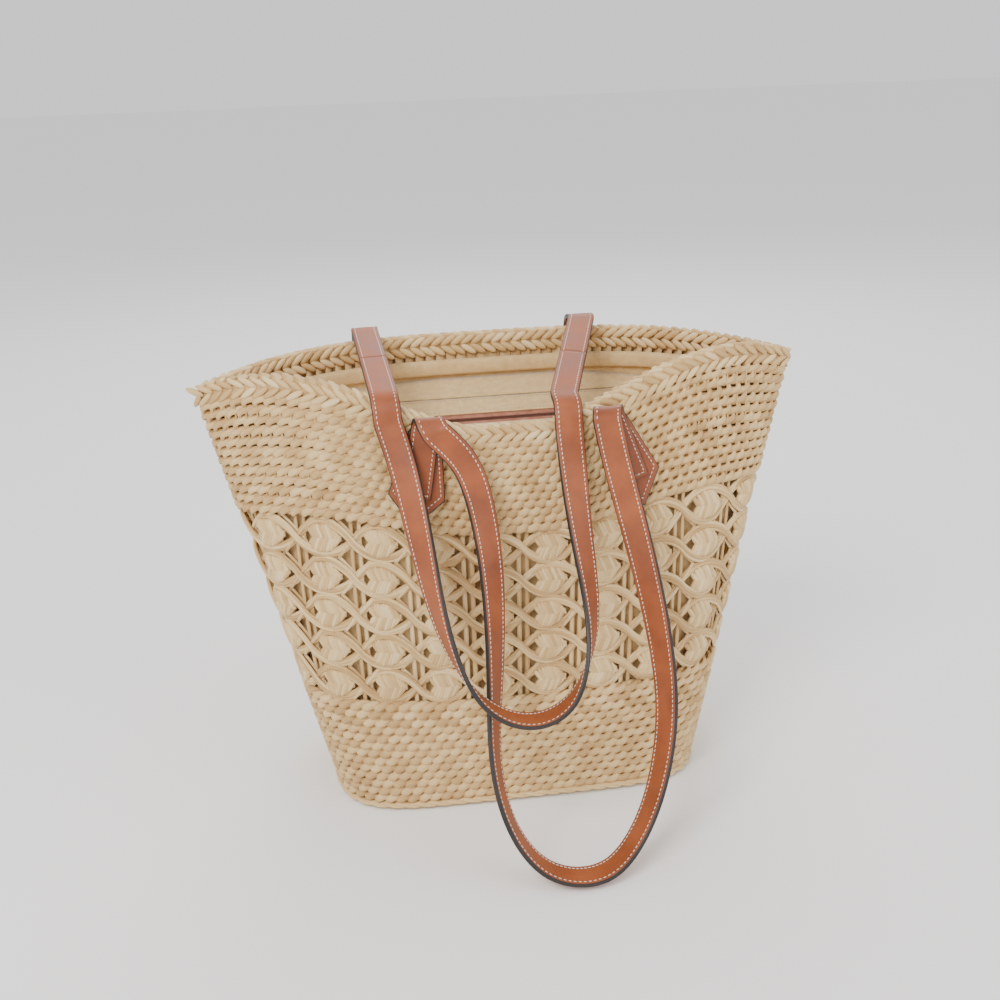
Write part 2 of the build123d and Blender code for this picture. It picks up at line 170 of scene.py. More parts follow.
def wall_tables():
    """Even places round every row, on the outer face and drawn in by ten millimetres."""
    angles = np.linspace(0, np.pi, 500)
    front = -np.sign(np.cos(angles)) * np.abs(np.cos(angles)) ** (1 / 3)
    share = np.concatenate([front, -front[1:]])
    side = np.concatenate([np.full(500, FRONT), np.full(499, BACK)])
    even = np.arange(AROUND_STEPS) / AROUND_STEPS
    outer, inner = [], []
    for level in np.linspace(0, TOP_LEVEL, LEVEL_STEPS):
        line = surface_points(side, share, level, 0.0)
        drawn_in = surface_points(side, share, level, 10.0)
        steps = np.linalg.norm(np.diff(line, axis=0), axis=1)
        run = np.concatenate([[0], np.cumsum(steps)])
        run = run / run[-1]
        outer.append(np.stack([np.interp(even, run, line[:, i]) for i in range(3)], axis=-1))
        inner.append(np.stack([np.interp(even, run, drawn_in[:, i]) for i in range(3)], axis=-1))
    outer, inner = np.array(outer), np.array(inner)
    return outer, (outer - inner) / 10.0


OUTER, OUTWARD = wall_tables()


def look_up(table, around, level):
    """Bilinear reading of a table at shares round the bag and levels."""
    column = (np.asarray(around) % 1.0) * AROUND_STEPS
    row = np.clip(np.asarray(level) / TOP_LEVEL * (LEVEL_STEPS - 1), 0, LEVEL_STEPS - 1.001)
    left = np.floor(column).astype(int)
    low = np.floor(row).astype(int)
    a = (column - left)[..., None]
    b = (row - low)[..., None]
    left, right = left % AROUND_STEPS, (left + 1) % AROUND_STEPS
    bottom = table[low, left] * (1 - a) + table[low, right] * a
    top = table[low + 1, left] * (1 - a) + table[low + 1, right] * a
    return bottom * (1 - b) + top * b


def wall(around, level, out):
    """Places at shares round the bag, at levels, and at distances off the outer face."""
    around, level, out = np.broadcast_arrays(around, level, out)
    return look_up(OUTER, around, level) + look_up(OUTWARD, around, level) * out[..., None]


def unit(vectors):
    """Vectors brought to length one."""
    return vectors / np.maximum(np.linalg.norm(vectors, axis=-1, keepdims=True), 1e-9)


def outward(around, level):
    """Unit direction out of the wall."""
    return unit(look_up(OUTWARD, around, level))


# ---- meshes ---------------------------------------------------------------------------------


def make_object(name, verts, faces, values=None, materials=(), face_materials=None):
    """Mesh object from places in millimetres, faces and named values at its points."""
    mesh = bpy.data.meshes.new(name)
    mesh.from_pydata((np.asarray(verts) / 1000.0).tolist(), [], faces)
    for key, data in (values or {}).items():
        attribute = mesh.attributes.new(key, "FLOAT", "POINT")
        attribute.data.foreach_set("value", np.asarray(data, np.float32).ravel())
    for material in materials:
        mesh.materials.append(material)
    if face_materials is not None:
        mesh.polygons.foreach_set("material_index", face_materials)
    mesh.polygons.foreach_set("use_smooth", [True] * len(mesh.polygons))
    mesh.update()
    obj = bpy.data.objects.new(name, mesh)
    bpy.context.scene.collection.objects.link(obj)
    turn_outward(obj)
    return obj


def turn_outward(obj):
    """Makes every face of a closed mesh look outward."""
    work = bmesh.new()
    work.from_mesh(obj.data)
    bmesh.ops.recalc_face_normals(work, faces=work.faces)
    work.to_mesh(obj.data)
    work.free()


class Batch:
    """Vertices, faces and point values gathered for one mesh."""

    def __init__(self):
        self.verts = []
        self.faces = []
        self.marks = []
        self.values = {"along": [], "across": [], "tone": []}
        self.count = 0

    def add(self, verts, faces, along, across, tone, mark=0):
        """Adds a piece; faces count from its own first vertex."""
        verts = np.asarray(verts).reshape(-1, 3)
        self.verts.append(verts)
        self.faces += [[index + self.count for index in face] for face in faces]
        self.marks += mark if isinstance(mark, list) else [mark] * len(faces)
        size = len(verts)
        for key, data in (("along", along), ("across", across), ("tone", tone)):
            self.values[key].append(np.broadcast_to(np.asarray(data, float).ravel(), (size,)))
        self.count += size

    def build(self, name, *materials):
        """The gathered mesh as an object."""
        values = {key: np.concatenate(parts) for key, parts in self.values.items()}
        return make_object(name, np.concatenate(self.verts), self.faces, values, materials, self.marks)


def add_strand(batch, line, facing, half_width_mm, half_thick, tone, closed=False, sides=6):
    """A flattened strand along a line, its flat side turned to the facing directions."""
    count = len(line)
    if closed:
        tangent = unit(np.roll(line, -1, axis=0) - np.roll(line, 1, axis=0))
    else:
        tangent = unit(np.gradient(line, axis=0))
    across = unit(np.cross(tangent, facing))
    up = np.cross(across, tangent)
    angles = (np.arange(sides) + 0.5) * 2 * np.pi / sides
    wide = np.broadcast_to(np.asarray(half_width_mm, float), (count,))[:, None, None]
    thick = np.broadcast_to(np.asarray(half_thick, float), (count,))[:, None, None]
    ring = wide * np.cos(angles)[None, :, None] * across[:, None, :]
    ring = ring + thick * np.sin(angles)[None, :, None] * up[:, None, :]
    verts = line[:, None, :] + ring
    loops = count if closed else count - 1
    faces = []
    for i in range(loops):
        j = (i + 1) % count
        for k in range(sides):
            m = (k + 1) % sides
            faces.append([i * sides + k, i * sides + m, j * sides + m, j * sides + k])
    if not closed:
        faces.append(list(range(sides)))
        faces.append([(count - 1) * sides + k for k in reversed(range(sides))])
    run = np.concatenate([[0], np.cumsum(np.linalg.norm(np.diff(line, axis=0), axis=1))])
    along = np.repeat(run, sides)
    batch.add(verts, faces, along, np.tile(np.cos(angles), count), tone)


def slab(batch, points, normals, thickness, tone=0.5, mark=0):
    """A closed sheet over a grid of places, with its thickness laid along the normals."""
    rows, columns = points.shape[:2]
    top = points + normals * thickness / 2
    bottom = points - normals * thickness / 2
    verts = np.concatenate([top.reshape(-1, 3), bottom.reshape(-1, 3)])
    size = rows * columns
    faces = []
    for i in range(rows - 1):
        for j in range(columns - 1):
            a = i * columns + j
            quad = [a, a + 1, a + columns + 1, a + columns]
            faces.append(quad)
            faces.append([size + index for index in reversed(quad)])
    rim = [j for j in range(columns)] + [i * columns + columns - 1 for i in range(1, rows)]
    rim += [(rows - 1) * columns + j for j in range(columns - 2, -1, -1)]
    rim += [i * columns for i in range(rows - 2, 0, -1)]
    for a, b in zip(rim, rim[1:] + rim[:1]):
        faces.append([b, a, size + a, size + b])
    along = np.tile(points[..., 0].ravel(), 2)
    across = np.tile(np.arange(size) // columns, 2)
    batch.add(verts, faces, along, across, tone, mark)


# ---- repeated shapes, laid by geometry nodes ------------------------------------------------


def lobe_mesh(name, rings=7, sides=8, belly=2.6):
    """Rounded strand end to end, one unit long each way, for laying on places."""
    verts, faces, along, across = [], [], [], []
    for i in range(rings):
        t = -0.96 + 1.92 * i / (rings - 1)
        radius = (1 - abs(t) ** belly) ** 0.5
        for k in range(sides):
            angle = 2 * math.pi * k / sides
            verts.append((t, radius * math.cos(angle), radius * math.sin(angle)))
            along.append(t * 8)
            across.append(math.cos(angle))
    for i in range(rings - 1):
        for k in range(sides):
            m = (k + 1) % sides
            faces.append([i * sides + k, i * sides + m, (i + 1) * sides + m, (i + 1) * sides + k])
    faces.append(list(range(sides)))
    faces.append([(rings - 1) * sides + k for k in reversed(range(sides))])
    batch = Batch()
    batch.add(np.array(verts) * 1000.0, faces, along, across, 0.5)
    return batch.build(name)


def laying_tree():
    """Node tree that lays one shape on every place, turned and sized by the place's own values."""
    found = bpy.data.node_groups.get("Lay Shapes On Places")
    if found:
        return found
    tree = bpy.data.node_groups.new("Lay Shapes On Places", "GeometryNodeTree")
    face = tree.interface
    face.new_socket("Geometry", in_out="INPUT", socket_type="NodeSocketGeometry")
    face.new_socket("Shape", in_out="INPUT", socket_type="NodeSocketObject")
    face.new_socket("Material", in_out="INPUT", socket_type="NodeSocketMaterial")
    face.new_socket("Size Spread", in_out="INPUT", socket_type="NodeSocketFloat")
    face.new_socket("Seed", in_out="INPUT", socket_type="NodeSocketInt")
    face.new_socket("Geometry", in_out="OUTPUT", socket_type="NodeSocketGeometry")
    nodes, links = tree.nodes, tree.links
    start = nodes.new("NodeGroupInput")
    end = nodes.new("NodeGroupOutput")
    info = nodes.new("GeometryNodeObjectInfo")
    lay = nodes.new("GeometryNodeInstanceOnPoints")
    turn = nodes.new("GeometryNodeInputNamedAttribute")
    turn.data_type = "FLOAT_VECTOR"
    turn.inputs["Name"].default_value = "turn"
    euler = nodes.new("FunctionNodeEulerToRotation")
    size = nodes.new("GeometryNodeInputNamedAttribute")
    size.data_type = "FLOAT_VECTOR"
    size.inputs["Name"].default_value = "size"
    chance = nodes.new("FunctionNodeRandomValue")
    chance.data_type = "FLOAT"
    spread_low = nodes.new("ShaderNodeMath")
    spread_low.operation = "SUBTRACT"
    spread_low.inputs[0].default_value = 1.0
    scale = nodes.new("ShaderNodeVectorMath")
    scale.operation = "SCALE"
    real = nodes.new("GeometryNodeRealizeInstances")
    paint = nodes.new("GeometryNodeSetMaterial")
    links.new(start.outputs["Shape"], info.inputs["Object"])
    links.new(start.outputs["Geometry"], lay.inputs["Points"])
    links.new(info.outputs["Geometry"], lay.inputs["Instance"])
    links.new(turn.outputs["Attribute"], euler.inputs["Euler"])
    links.new(euler.outputs["Rotation"], lay.inputs["Rotation"])
    links.new(start.outputs["Size Spread"], spread_low.inputs[1])
    floats = [socket for socket in chance.inputs if socket.type == "VALUE"]
    links.new(spread_low.outputs[0], floats[0])
    floats[1].default_value = 1.0
    links.new(start.outputs["Seed"], chance.inputs["Seed"])
    links.new(size.outputs["Attribute"], scale.inputs[0])
    chosen = [socket for socket in chance.outputs if socket.type == "VALUE"][0]
    links.new(chosen, scale.inputs["Scale"])
    links.new(scale.outputs["Vector"], lay.inputs["Scale"])
    links.new(lay.outputs["Instances"], real.inputs["Geometry"])
    links.new(real.outputs["Geometry"], paint.inputs["Geometry"])
    links.new(start.outputs["Material"], paint.inputs["Material"])
    links.new(paint.outputs["Geometry"], end.inputs["Geometry"])
    return tree


class Places:
    """Places, turns and sizes for a shape that repeats."""

    def __init__(self):
        self.points = []
        self.turns = []
        self.sizes = []
        self.tones = []

    def add(self, point, run, facing, size, tone):
        """One place: its long way runs with run and its face looks along facing."""
        x = Vector(run).normalized()
        z = Vector(facing)
        z = (z - x * z.dot(x)).normalized()
        y = z.cross(x)
        turn = Matrix((x, y, z)).transposed().to_euler()
        self.points.append([c / 1000.0 for c in point])
        self.turns.append(tuple(turn))
        self.sizes.append([c / 1000.0 for c in size])
        self.tones.append(tone)


def lay_shapes(name, places, shape, material, spread=0.12, seed=3):
    """Lays a shape on the places and returns the plain mesh."""
    mesh = bpy.data.meshes.new(name + "_places")
    mesh.from_pydata(places.points, [], [])
    turn = mesh.attributes.new("turn", "FLOAT_VECTOR", "POINT")
    turn.data.foreach_set("vector", np.array(places.turns, np.float32).ravel())
    size = mesh.attributes.new("size", "FLOAT_VECTOR", "POINT")
    size.data.foreach_set("vector", np.array(places.sizes, np.float32).ravel())
    holder = bpy.data.objects.new(name + "_places", mesh)
    bpy.context.scene.collection.objects.link(holder)
    tree = laying_tree()
    modifier = holder.modifiers.new("Lay", "NODES")
    modifier.node_group = tree
    wanted = {"Shape": shape, "Material": material, "Size Spread": spread, "Seed": seed}
    for item in tree.interface.items_tree:
        if item.item_type == "SOCKET" and item.in_out == "INPUT" and item.name in wanted:
            modifier[item.identifier] = wanted[item.name]
    bpy.context.view_layer.update()
    graph = bpy.context.evaluated_depsgraph_get()
    made = bpy.data.meshes.new_from_object(holder.evaluated_get(graph))
    made.name = name
    per_shape = len(shape.data.vertices)
    tone = made.attributes.get("tone") or made.attributes.new("tone", "FLOAT", "POINT")
    tone.data.foreach_set("value", np.repeat(np.array(places.tones, np.float32), per_shape))
    made.polygons.foreach_set("use_smooth", [True] * len(made.polygons))
    obj = bpy.data.objects.new(name, made)
    bpy.context.scene.collection.objects.link(obj)
    bpy.data.objects.remove(holder)
    bpy.data.objects.remove(shape)
    return obj


# ---- lines ----------------------------------------------------------------------------------


def smooth_line(points, samples, start=None, end=None):
    """Cubic curve through the points, at even distances, with the end directions if given."""
    points = np.asarray(points, float)
    count = len(points)
    knots = np.concatenate([[0], np.cumsum(np.linalg.norm(np.diff(points, axis=0), axis=1))])
    gaps = np.diff(knots)
    matrix = np.zeros((count, count))
    right = np.zeros((count, 3))
    for i in range(1, count - 1):
        matrix[i, i - 1] = gaps[i]
        matrix[i, i] = 2 * (gaps[i - 1] + gaps[i])
        matrix[i, i + 1] = gaps[i - 1]
        before = (points[i] - points[i - 1]) / gaps[i - 1] * gaps[i]
        after = (points[i + 1] - points[i]) / gaps[i] * gaps[i - 1]
        right[i] = 3 * (before + after)
    matrix[0, 0] = matrix[-1, -1] = 1
    if start is None:
        matrix[0, 0], matrix[0, 1] = 2, 1
        right[0] = 3 * (points[1] - points[0]) / gaps[0]
        matrix[-1, -1], matrix[-1, -2] = 2, 1
        right[-1] = 3 * (points[-1] - points[-2]) / gaps[-1]
    else:
        right[0], right[-1] = start, end
    slopes = np.linalg.solve(matrix, right)
    fine = np.linspace(0, knots[-1], samples * 12)
    place = np.clip(np.searchsorted(knots, fine, side="right") - 1, 0, count - 2)
    gap = gaps[place][:, None]
    t = ((fine - knots[place]) / gaps[place])[:, None]
    curve = (2 * t ** 3 - 3 * t ** 2 + 1) * points[place] + (t ** 3 - 2 * t ** 2 + t) * gap * slopes[place]
    curve = curve + (3 * t ** 2 - 2 * t ** 3) * points[place + 1]
    curve = curve + (t ** 3 - t ** 2) * gap * slopes[place + 1]
    run = np.concatenate([[0], np.cumsum(np.linalg.norm(np.diff(curve, axis=0), axis=1))])
    even = np.linspace(0, run[-1], samples)
    return np.stack([np.interp(even, run, curve[:, i]) for i in range(3)], axis=-1)


def outer_y(side, x, z):
    """Y of the outer face of the wall at a place on it."""
    level = z / CORNER_HEIGHT
    return float(wall_y(side, x / half_width(level), level))


def tab_axes(name):
    """Origin, sideways, upward and outward directions of a tab on the wall."""
    side = FRONT if name.startswith("front") else BACK
    x, z, lean = TABS[name]
    step = 20.0
    point = np.array([x, outer_y(side, x, z), z])
    along = np.array([2 * step, outer_y(side, x + step, z) - outer_y(side, x - step, z), 0])
    up = np.array([0, outer_y(side, x, z + step) - outer_y(side, x, z - step), 2 * step])
    normal = unit(np.cross(along, up)) * (-side)
    right = unit(along * (-side))
    upward = np.cross(normal, right)
    turn = math.radians(lean)
    across = right * math.cos(turn) + upward * math.sin(turn)
    high = -right * math.sin(turn) + upward * math.cos(turn)
    angle = math.degrees(math.atan2(along[1], along[0]))
    return point, across, high, normal, angle


def sewn_line(name):
    """Lower and upper centre of the strap end that is sewn on a tab."""
    point, across, high, normal, angle = tab_axes(name)
    off = TAB_STANDOFF + TAB + LAYER_GAP + STRAP / 2
    return [point + high * up + normal * off for up in (0.0, 52.0)]


def loop_turns(direction, samples):
    """Turn of a hanging loop, from facing front at one end to facing front at the other."""
    share = np.linspace(0, 1, samples)
    half = 1 - np.abs(1 - 2 * share) ** 1.3
    return direction * np.where(share <= 0.5, 90 * half, 180 - 90 * half)


def join_lines(parts):
    """Runs of places and turns joined into one, without the doubled places."""
    places = [parts[0][0]] + [line[1:] for line, turn in parts[1:]]
    turns = [parts[0][1]] + [turn[1:] for line, turn in parts[1:]]
    return np.concatenate(places), np.concatenate(turns)


def sewn_part(name):
    """Places and turns of a sewn end, from its low end up."""
    low, high = sewn_line(name)
    return np.linspace(low, high, 14), np.full(14, tab_axes(name)[4])


def front_fold_part(name, loop):
    """Places and turns of the front strap's bend, from the sewn end over to the loop."""
    low, high = sewn_line("front_" + name)
    end = loop[0] if name == "left" else loop[-1]
    leaving = unit(loop[1] - loop[0]) if name == "left" else unit(loop[-2] - loop[-1])
    middle = (high + end) / 2
    crown = np.array([middle[0] - 1.5, middle[1], high[2] + CROWN_RISE])
    line = smooth_line([high, crown, end], 22, unit(high - low), leaving)
    turn = tab_axes("front_" + name)[4] * (1 - np.linspace(0, 1, 22))
    return line, turn


def bridge_ends(name):
    """Both ends of the stretch that crosses the mouth."""
    start = sewn_line("back_" + name)[1] + np.array([0, *BACK_ARCH[-1]])
    return start, np.array(FRONT_BEND[name][0])


def back_fold_part(name):
    """Places and turns of the back strap's bend over the back rim."""
    low, high = sewn_line("back_" + name)
    start, end = bridge_ends(name)
    points = [high] + [high + np.array([0, *step]) for step in BACK_ARCH]
    line = smooth_line(points, 24, unit(high - low), unit(end - start))
    return line, tab_axes("back_" + name)[4] * (1 - np.linspace(0, 1, 24))


def front_bend_part(name, loop):
    """Places and turns of the back strap's bend over the front rim."""
    start, end = bridge_ends(name)
    leaving = unit(loop[1] - loop[0]) if name == "left" else unit(loop[-2] - loop[-1])
    points = [np.array(p) for p in FRONT_BEND[name]] + [loop[0] if name == "left" else loop[-1]]
    return smooth_line(points, 16, unit(end - start), leaving), np.zeros(16)


def half_bridge(name, first, last):
    """Places and turns of a share of the stretch across the mouth."""
    start, end = bridge_ends(name)
    shares = np.linspace(first, last, 24)[:, None]
    return start + (end - start) * shares, np.zeros(24)


def reverse(part, added):
    """The same run walked backwards, with an added turn."""
    line, turn = part
    return line[::-1], turn[::-1] + added


def front_strap_line():
    """The whole front strap, from the left sewn end to the right one."""
    loop = smooth_line(FRONT_LEG, 190)
    return join_lines([
        sewn_part("front_left"),
        front_fold_part("left", loop),
        (loop, loop_turns(1, 190)),
        reverse(front_fold_part("right", loop), 180),
        reverse(sewn_part("front_right"), 180),
    ])


def back_strap_rear_line(name):
    """Back strap from one sewn end to the middle of the mouth."""
    return join_lines([sewn_part("back_" + name), back_fold_part(name), half_bridge(name, 0, 0.5)])


def back_strap_front_line():
    """Back strap from the middle of the mouth, round its hanging loop and back."""
    loop = smooth_line(BACK_LEG, 140)
    return join_lines([
        half_bridge("left", 0.5, 1),
        front_bend_part("left", loop),
        (loop, loop_turns(-1, 140)),
        reverse(front_bend_part("right", loop), -180),
        reverse(half_bridge("right", 0.5, 1), -180),
    ])


# ---- shaders --------------------------------------------------------------------------------


def shader_group(name, inputs, outputs):
    """New shader node group with its sockets, and the nodes at both ends."""
    group = bpy.data.node_groups.new(name, "ShaderNodeTree")
    for key, kind, value in inputs:
        socket = group.interface.new_socket(key, in_out="INPUT", socket_type=kind)
        socket.default_value = value
    for key, kind in outputs:
        group.interface.new_socket(key, in_out="OUTPUT", socket_type=kind)
    return group, group.nodes.new("NodeGroupInput"), group.nodes.new("NodeGroupOutput")


def attribute_node(nodes, name):
    """Node that reads a value kept at the mesh's points."""
    node = nodes.new("ShaderNodeAttribute")
    node.attribute_name = name
    return node


def noise(nodes, links, vector, scale, detail=4.0, rough=0.6):
    """Noise texture over a vector."""
    node = nodes.new("ShaderNodeTexNoise")
    node.inputs["Scale"].default_value = scale
    node.inputs["Detail"].default_value = detail
    node.inputs["Roughness"].default_value = rough
    links.new(vector, node.inputs["Vector"])
    return node.outputs["Fac"]


def ramp(nodes, links, factor, stops):
    """Colour ramp with its stops."""
    node = nodes.new("ShaderNodeValToRGB")
    while len(node.color_ramp.elements) < len(stops):
        node.color_ramp.elements.new(0.5)
    for element, (place, colour) in zip(node.color_ramp.elements, stops):
        element.position = place
        element.color = (*colour, 1.0)
    links.new(factor, node.inputs["Fac"])
    return node.outputs["Color"]


def join_values(nodes, links, operation, first, second):
    """Math node over two sockets or numbers."""
    node = nodes.new("ShaderNodeMath")
    node.operation = operation
    for socket, value in zip(node.inputs, (first, second)):
        if isinstance(value, (int, float)):
            socket.default_value = value
        else:
            links.new(value, socket)
    return node.outputs[0]


def fibre_group():
    """Straw fibres: fine streaks along the strand, with light and dark stretches."""
    found = bpy.data.node_groups.get("Straw Fibres")
    if found:
        return found
    outputs = [("Streak", "NodeSocketFloat"), ("Patch", "NodeSocketFloat"), ("Height", "NodeSocketFloat")]
    group, start, end = shader_group("Straw Fibres", [("Streaks", "NodeSocketFloat", 9.0)], outputs)
    nodes, links = group.nodes, group.links
    along = attribute_node(nodes, "along").outputs["Fac"]
    across = attribute_node(nodes, "across").outputs["Fac"]
    tone = attribute_node(nodes, "tone").outputs["Fac"]
    place = nodes.new("ShaderNodeCombineXYZ")
    links.new(join_values(nodes, links, "MULTIPLY", along, 0.06), place.inputs[0])
    links.new(join_values(nodes, links, "MULTIPLY", across, start.outputs["Streaks"]), place.inputs[1])
    links.new(join_values(nodes, links, "MULTIPLY", tone, 40.0), place.inputs[2])
    streak = noise(nodes, links, place.outputs[0], 1.6, 3.0)
    long_place = nodes.new("ShaderNodeTexCoord")
    patch = noise(nodes, links, long_place.outputs["Object"], 22.0, 3.0)
    links.new(streak, end.inputs["Streak"])
    links.new(patch, end.inputs["Patch"])
    links.new(streak, end.inputs["Height"])
    return group


def weave_group():
    """Plain cloth weave: threads over and under one another, with slubs."""
    found = bpy.data.node_groups.get("Cloth Weave")
    if found:
        return found
    outputs = [("Height", "NodeSocketFloat"), ("Slub", "NodeSocketFloat")]
    group, start, end = shader_group("Cloth Weave", [("Threads", "NodeSocketFloat", 1200.0)], outputs)
    nodes, links = group.nodes, group.links
    place = nodes.new("ShaderNodeTexCoord")
    parts = nodes.new("ShaderNodeSeparateXYZ")
    links.new(place.outputs["Object"], parts.inputs[0])
    depth = join_values(nodes, links, "ADD", parts.outputs[1], parts.outputs[2])
    warp = join_values(nodes, links, "MULTIPLY", parts.outputs[0], start.outputs["Threads"])
    weft = join_values(nodes, links, "MULTIPLY", depth, start.outputs["Threads"])
    warp = join_values(nodes, links, "SINE", warp, 0.0)
    weft = join_values(nodes, links, "SINE", weft, 0.0)
    height = join_values(nodes, links, "MULTIPLY", warp, weft)
    links.new(height, end.inputs["Height"])
    links.new(noise(nodes, links, place.outputs["Object"], 160.0, 5.0), end.inputs["Slub"])
    return group


def grain_group():
    """Leather grain: small cells with creases, and slow changes of colour."""
    found = bpy.data.node_groups.get("Leather Grain")
    if found:
        return found
    outputs = [("Height", "NodeSocketFloat"), ("Cloud", "NodeSocketFloat")]
    group, start, end = shader_group("Leather Grain", [("Grain", "NodeSocketFloat", 900.0)], outputs)
    nodes, links = group.nodes, group.links
    place = nodes.new("ShaderNodeTexCoord")
    cells = nodes.new("ShaderNodeTexVoronoi")
    cells.feature = "DISTANCE_TO_EDGE"
    links.new(place.outputs["Object"], cells.inputs["Vector"])
    links.new(start.outputs["Grain"], cells.inputs["Scale"])
    links.new(cells.outputs["Distance"], end.inputs["Height"])
    links.new(noise(nodes, links, place.outputs["Object"], 35.0, 6.0), end.inputs["Cloud"])
    return group


def start_material(name, rough):
    """New material with its nodes, links and main shader."""
    material = bpy.data.materials.new(name)
    material.use_nodes = True
    nodes, links = material.node_tree.nodes, material.node_tree.links
    shader = nodes["Principled BSDF"]
    shader.inputs["Roughness"].default_value = rough
    return material, nodes, links, shader


def use_group(nodes, group, **values):
    """Group node with some inputs set."""
    node = nodes.new("ShaderNodeGroup")
    node.node_tree = group
    for key, value in values.items():
        node.inputs[key].default_value = value
    return node


def bump(nodes, links, shader, height, strength, distance):
    """Relief on the main shader."""
    node = nodes.new("ShaderNodeBump")
    node.inputs["Strength"].default_value = strength
    node.inputs["Distance"].default_value = distance
    links.new(height, node.inputs["Height"])
    links.new(node.outputs["Normal"], shader.inputs["Normal"])


def straw_material():
    """Matte twisted straw, pale to tan, with streaks and a little shine on the crowns."""
    found = bpy.data.materials.get("Straw")
    if found:
        return found
    material, nodes, links, shader = start_material("Straw", 0.62)
    fibres = use_group(nodes, fibre_group(), Streaks=5.0)
    tone = attribute_node(nodes, "tone").outputs["Fac"]
    share = join_values(nodes, links, "MULTIPLY", tone, 0.45)
    for key, weight in (("Streak", 0.35), ("Patch", 0.25)):
        added = join_values(nodes, links, "MULTIPLY", fibres.outputs[key], weight)
        share = join_values(nodes, links, "ADD", share, added)
    stops = [
        (0.22, (0.25, 0.13, 0.04)),
        (0.42, (0.52, 0.32, 0.12)),
        (0.62, (0.72, 0.50, 0.23)),
        (0.85, (0.86, 0.68, 0.40)),
    ]
    links.new(ramp(nodes, links, share, stops), shader.inputs["Base Color"])
    shader.inputs["Sheen Weight"].default_value = 0.1
    bump(nodes, links, shader, fibres.outputs["Height"], 0.55, 0.0006)
    return material


def cotton_material():
    """Golden cream woven cotton."""
    found = bpy.data.materials.get("Cotton")
    if found:
        return found
    material, nodes, links, shader = start_material("Cotton", 0.85)
    weave = use_group(nodes, weave_group(), Threads=3200.0)
    stops = [(0.3, (0.58, 0.38, 0.16)), (0.7, (0.72, 0.51, 0.25))]
    cloth = ramp(nodes, links, weave.outputs["Slub"], stops)
    links.new(cloth, shader.inputs["Base Color"])
    shader.inputs["Sheen Weight"].default_value = 0.25
    bump(nodes, links, shader, weave.outputs["Height"], 0.35, 0.0003)
    return material


def leather_material():
    """Cognac leather with fine grain."""
    found = bpy.data.materials.get("Leather")
    if found:
        return found
    material, nodes, links, shader = start_material("Leather", 0.42)
    grain = use_group(nodes, grain_group(), Grain=950.0)
    stops = [(0.25, (0.19, 0.042, 0.010)), (0.55, (0.29, 0.068, 0.016)), (0.8, (0.37, 0.096, 0.026))]
    links.new(ramp(nodes, links, grain.outputs["Cloud"], stops), shader.inputs["Base Color"])
    rough = join_values(nodes, links, "MULTIPLY", grain.outputs["Cloud"], 0.35)
    links.new(join_values(nodes, links, "ADD", rough, 0.34), shader.inputs["Roughness"])
    shader.inputs["Coat Weight"].default_value = 0.05
    bump(nodes, links, shader, grain.outputs["Height"], 0.3, 0.0004)
    return material


def edge_material():
    """Black painted leather edge."""
    found = bpy.data.materials.get("Painted Edge")
    if found:
        return found
    material, nodes, links, shader = start_material("Painted Edge", 0.4)
    grain = use_group(nodes, grain_group(), Grain=400.0)
    stops = [(0.3, (0.008, 0.006, 0.005)), (0.8, (0.035, 0.022, 0.018))]
    links.new(ramp(nodes, links, grain.outputs["Cloud"], stops), shader.inputs["Base Color"])
    bump(nodes, links, shader, grain.outputs["Cloud"], 0.3, 0.0005)
    return material


def thread_material(name, dark, light):
    """Twisted sewing thread."""
    found = bpy.data.materials.get(name)
    if found:
        return found
    material, nodes, links, shader = start_material(name, 0.6)
    fibres = use_group(nodes, fibre_group(), Streaks=3.0)
    stops = [(0.3, dark), (0.7, light)]
    links.new(ramp(nodes, links, fibres.outputs["Streak"], stops), shader.inputs["Base Color"])
    bump(nodes, links, shader, fibres.outputs["Height"], 0.4, 0.0002)
    return material


def tape_material():
    """Dark red-brown woven zip tape with paler bands."""
    found = bpy.data.materials.get("Zip Tape")
    if found:
        return found
    material, nodes, links, shader = start_material("Zip Tape", 0.75)
    weave = use_group(nodes, weave_group(), Threads=5200.0)
    stops = [(0.35, (0.30, 0.10, 0.055)), (0.7, (0.45, 0.19, 0.12))]
    links.new(ramp(nodes, links, weave.outputs["Slub"], stops), shader.inputs["Base Color"])
    bump(nodes, links, shader, weave.outputs["Height"], 0.5, 0.0002)
    return material


def teeth_material():
    """Dark brown nylon coil."""
    found = bpy.data.materials.get("Zip Teeth")
    if found:
        return found
    material, nodes, links, shader = start_material("Zip Teeth", 0.32)
    grain = use_group(nodes, grain_group(), Grain=1500.0)
    stops = [(0.3, (0.10, 0.03, 0.02)), (0.8, (0.20, 0.07, 0.045))]
    links.new(ramp(nodes, links, grain.outputs["Cloud"], stops), shader.inputs["Base Color"])
    bump(nodes, links, shader, grain.outputs["Cloud"], 0.2, 0.0002)
    return material


def brass_material():
    """Antique brass with brushed wear."""
    found = bpy.data.materials.get("Brass")
    if found:
        return found
    material, nodes, links, shader = start_material("Brass", 0.3)
    shader.inputs["Metallic"].default_value = 1.0
    grain = use_group(nodes, grain_group(), Grain=1300.0)
    stops = [(0.3, (0.45, 0.30, 0.12)), (0.75, (0.78, 0.58, 0.28))]
    links.new(ramp(nodes, links, grain.outputs["Cloud"], stops), shader.inputs["Base Color"])
    rough = join_values(nodes, links, "MULTIPLY", grain.outputs["Cloud"], 0.4)
    links.new(join_values(nodes, links, "ADD", rough, 0.12), shader.inputs["Roughness"])
    bump(nodes, links, shader, grain.outputs["Height"], 0.15, 0.0002)
    return material


# ---- straw ----------------------------------------------------------------------------------


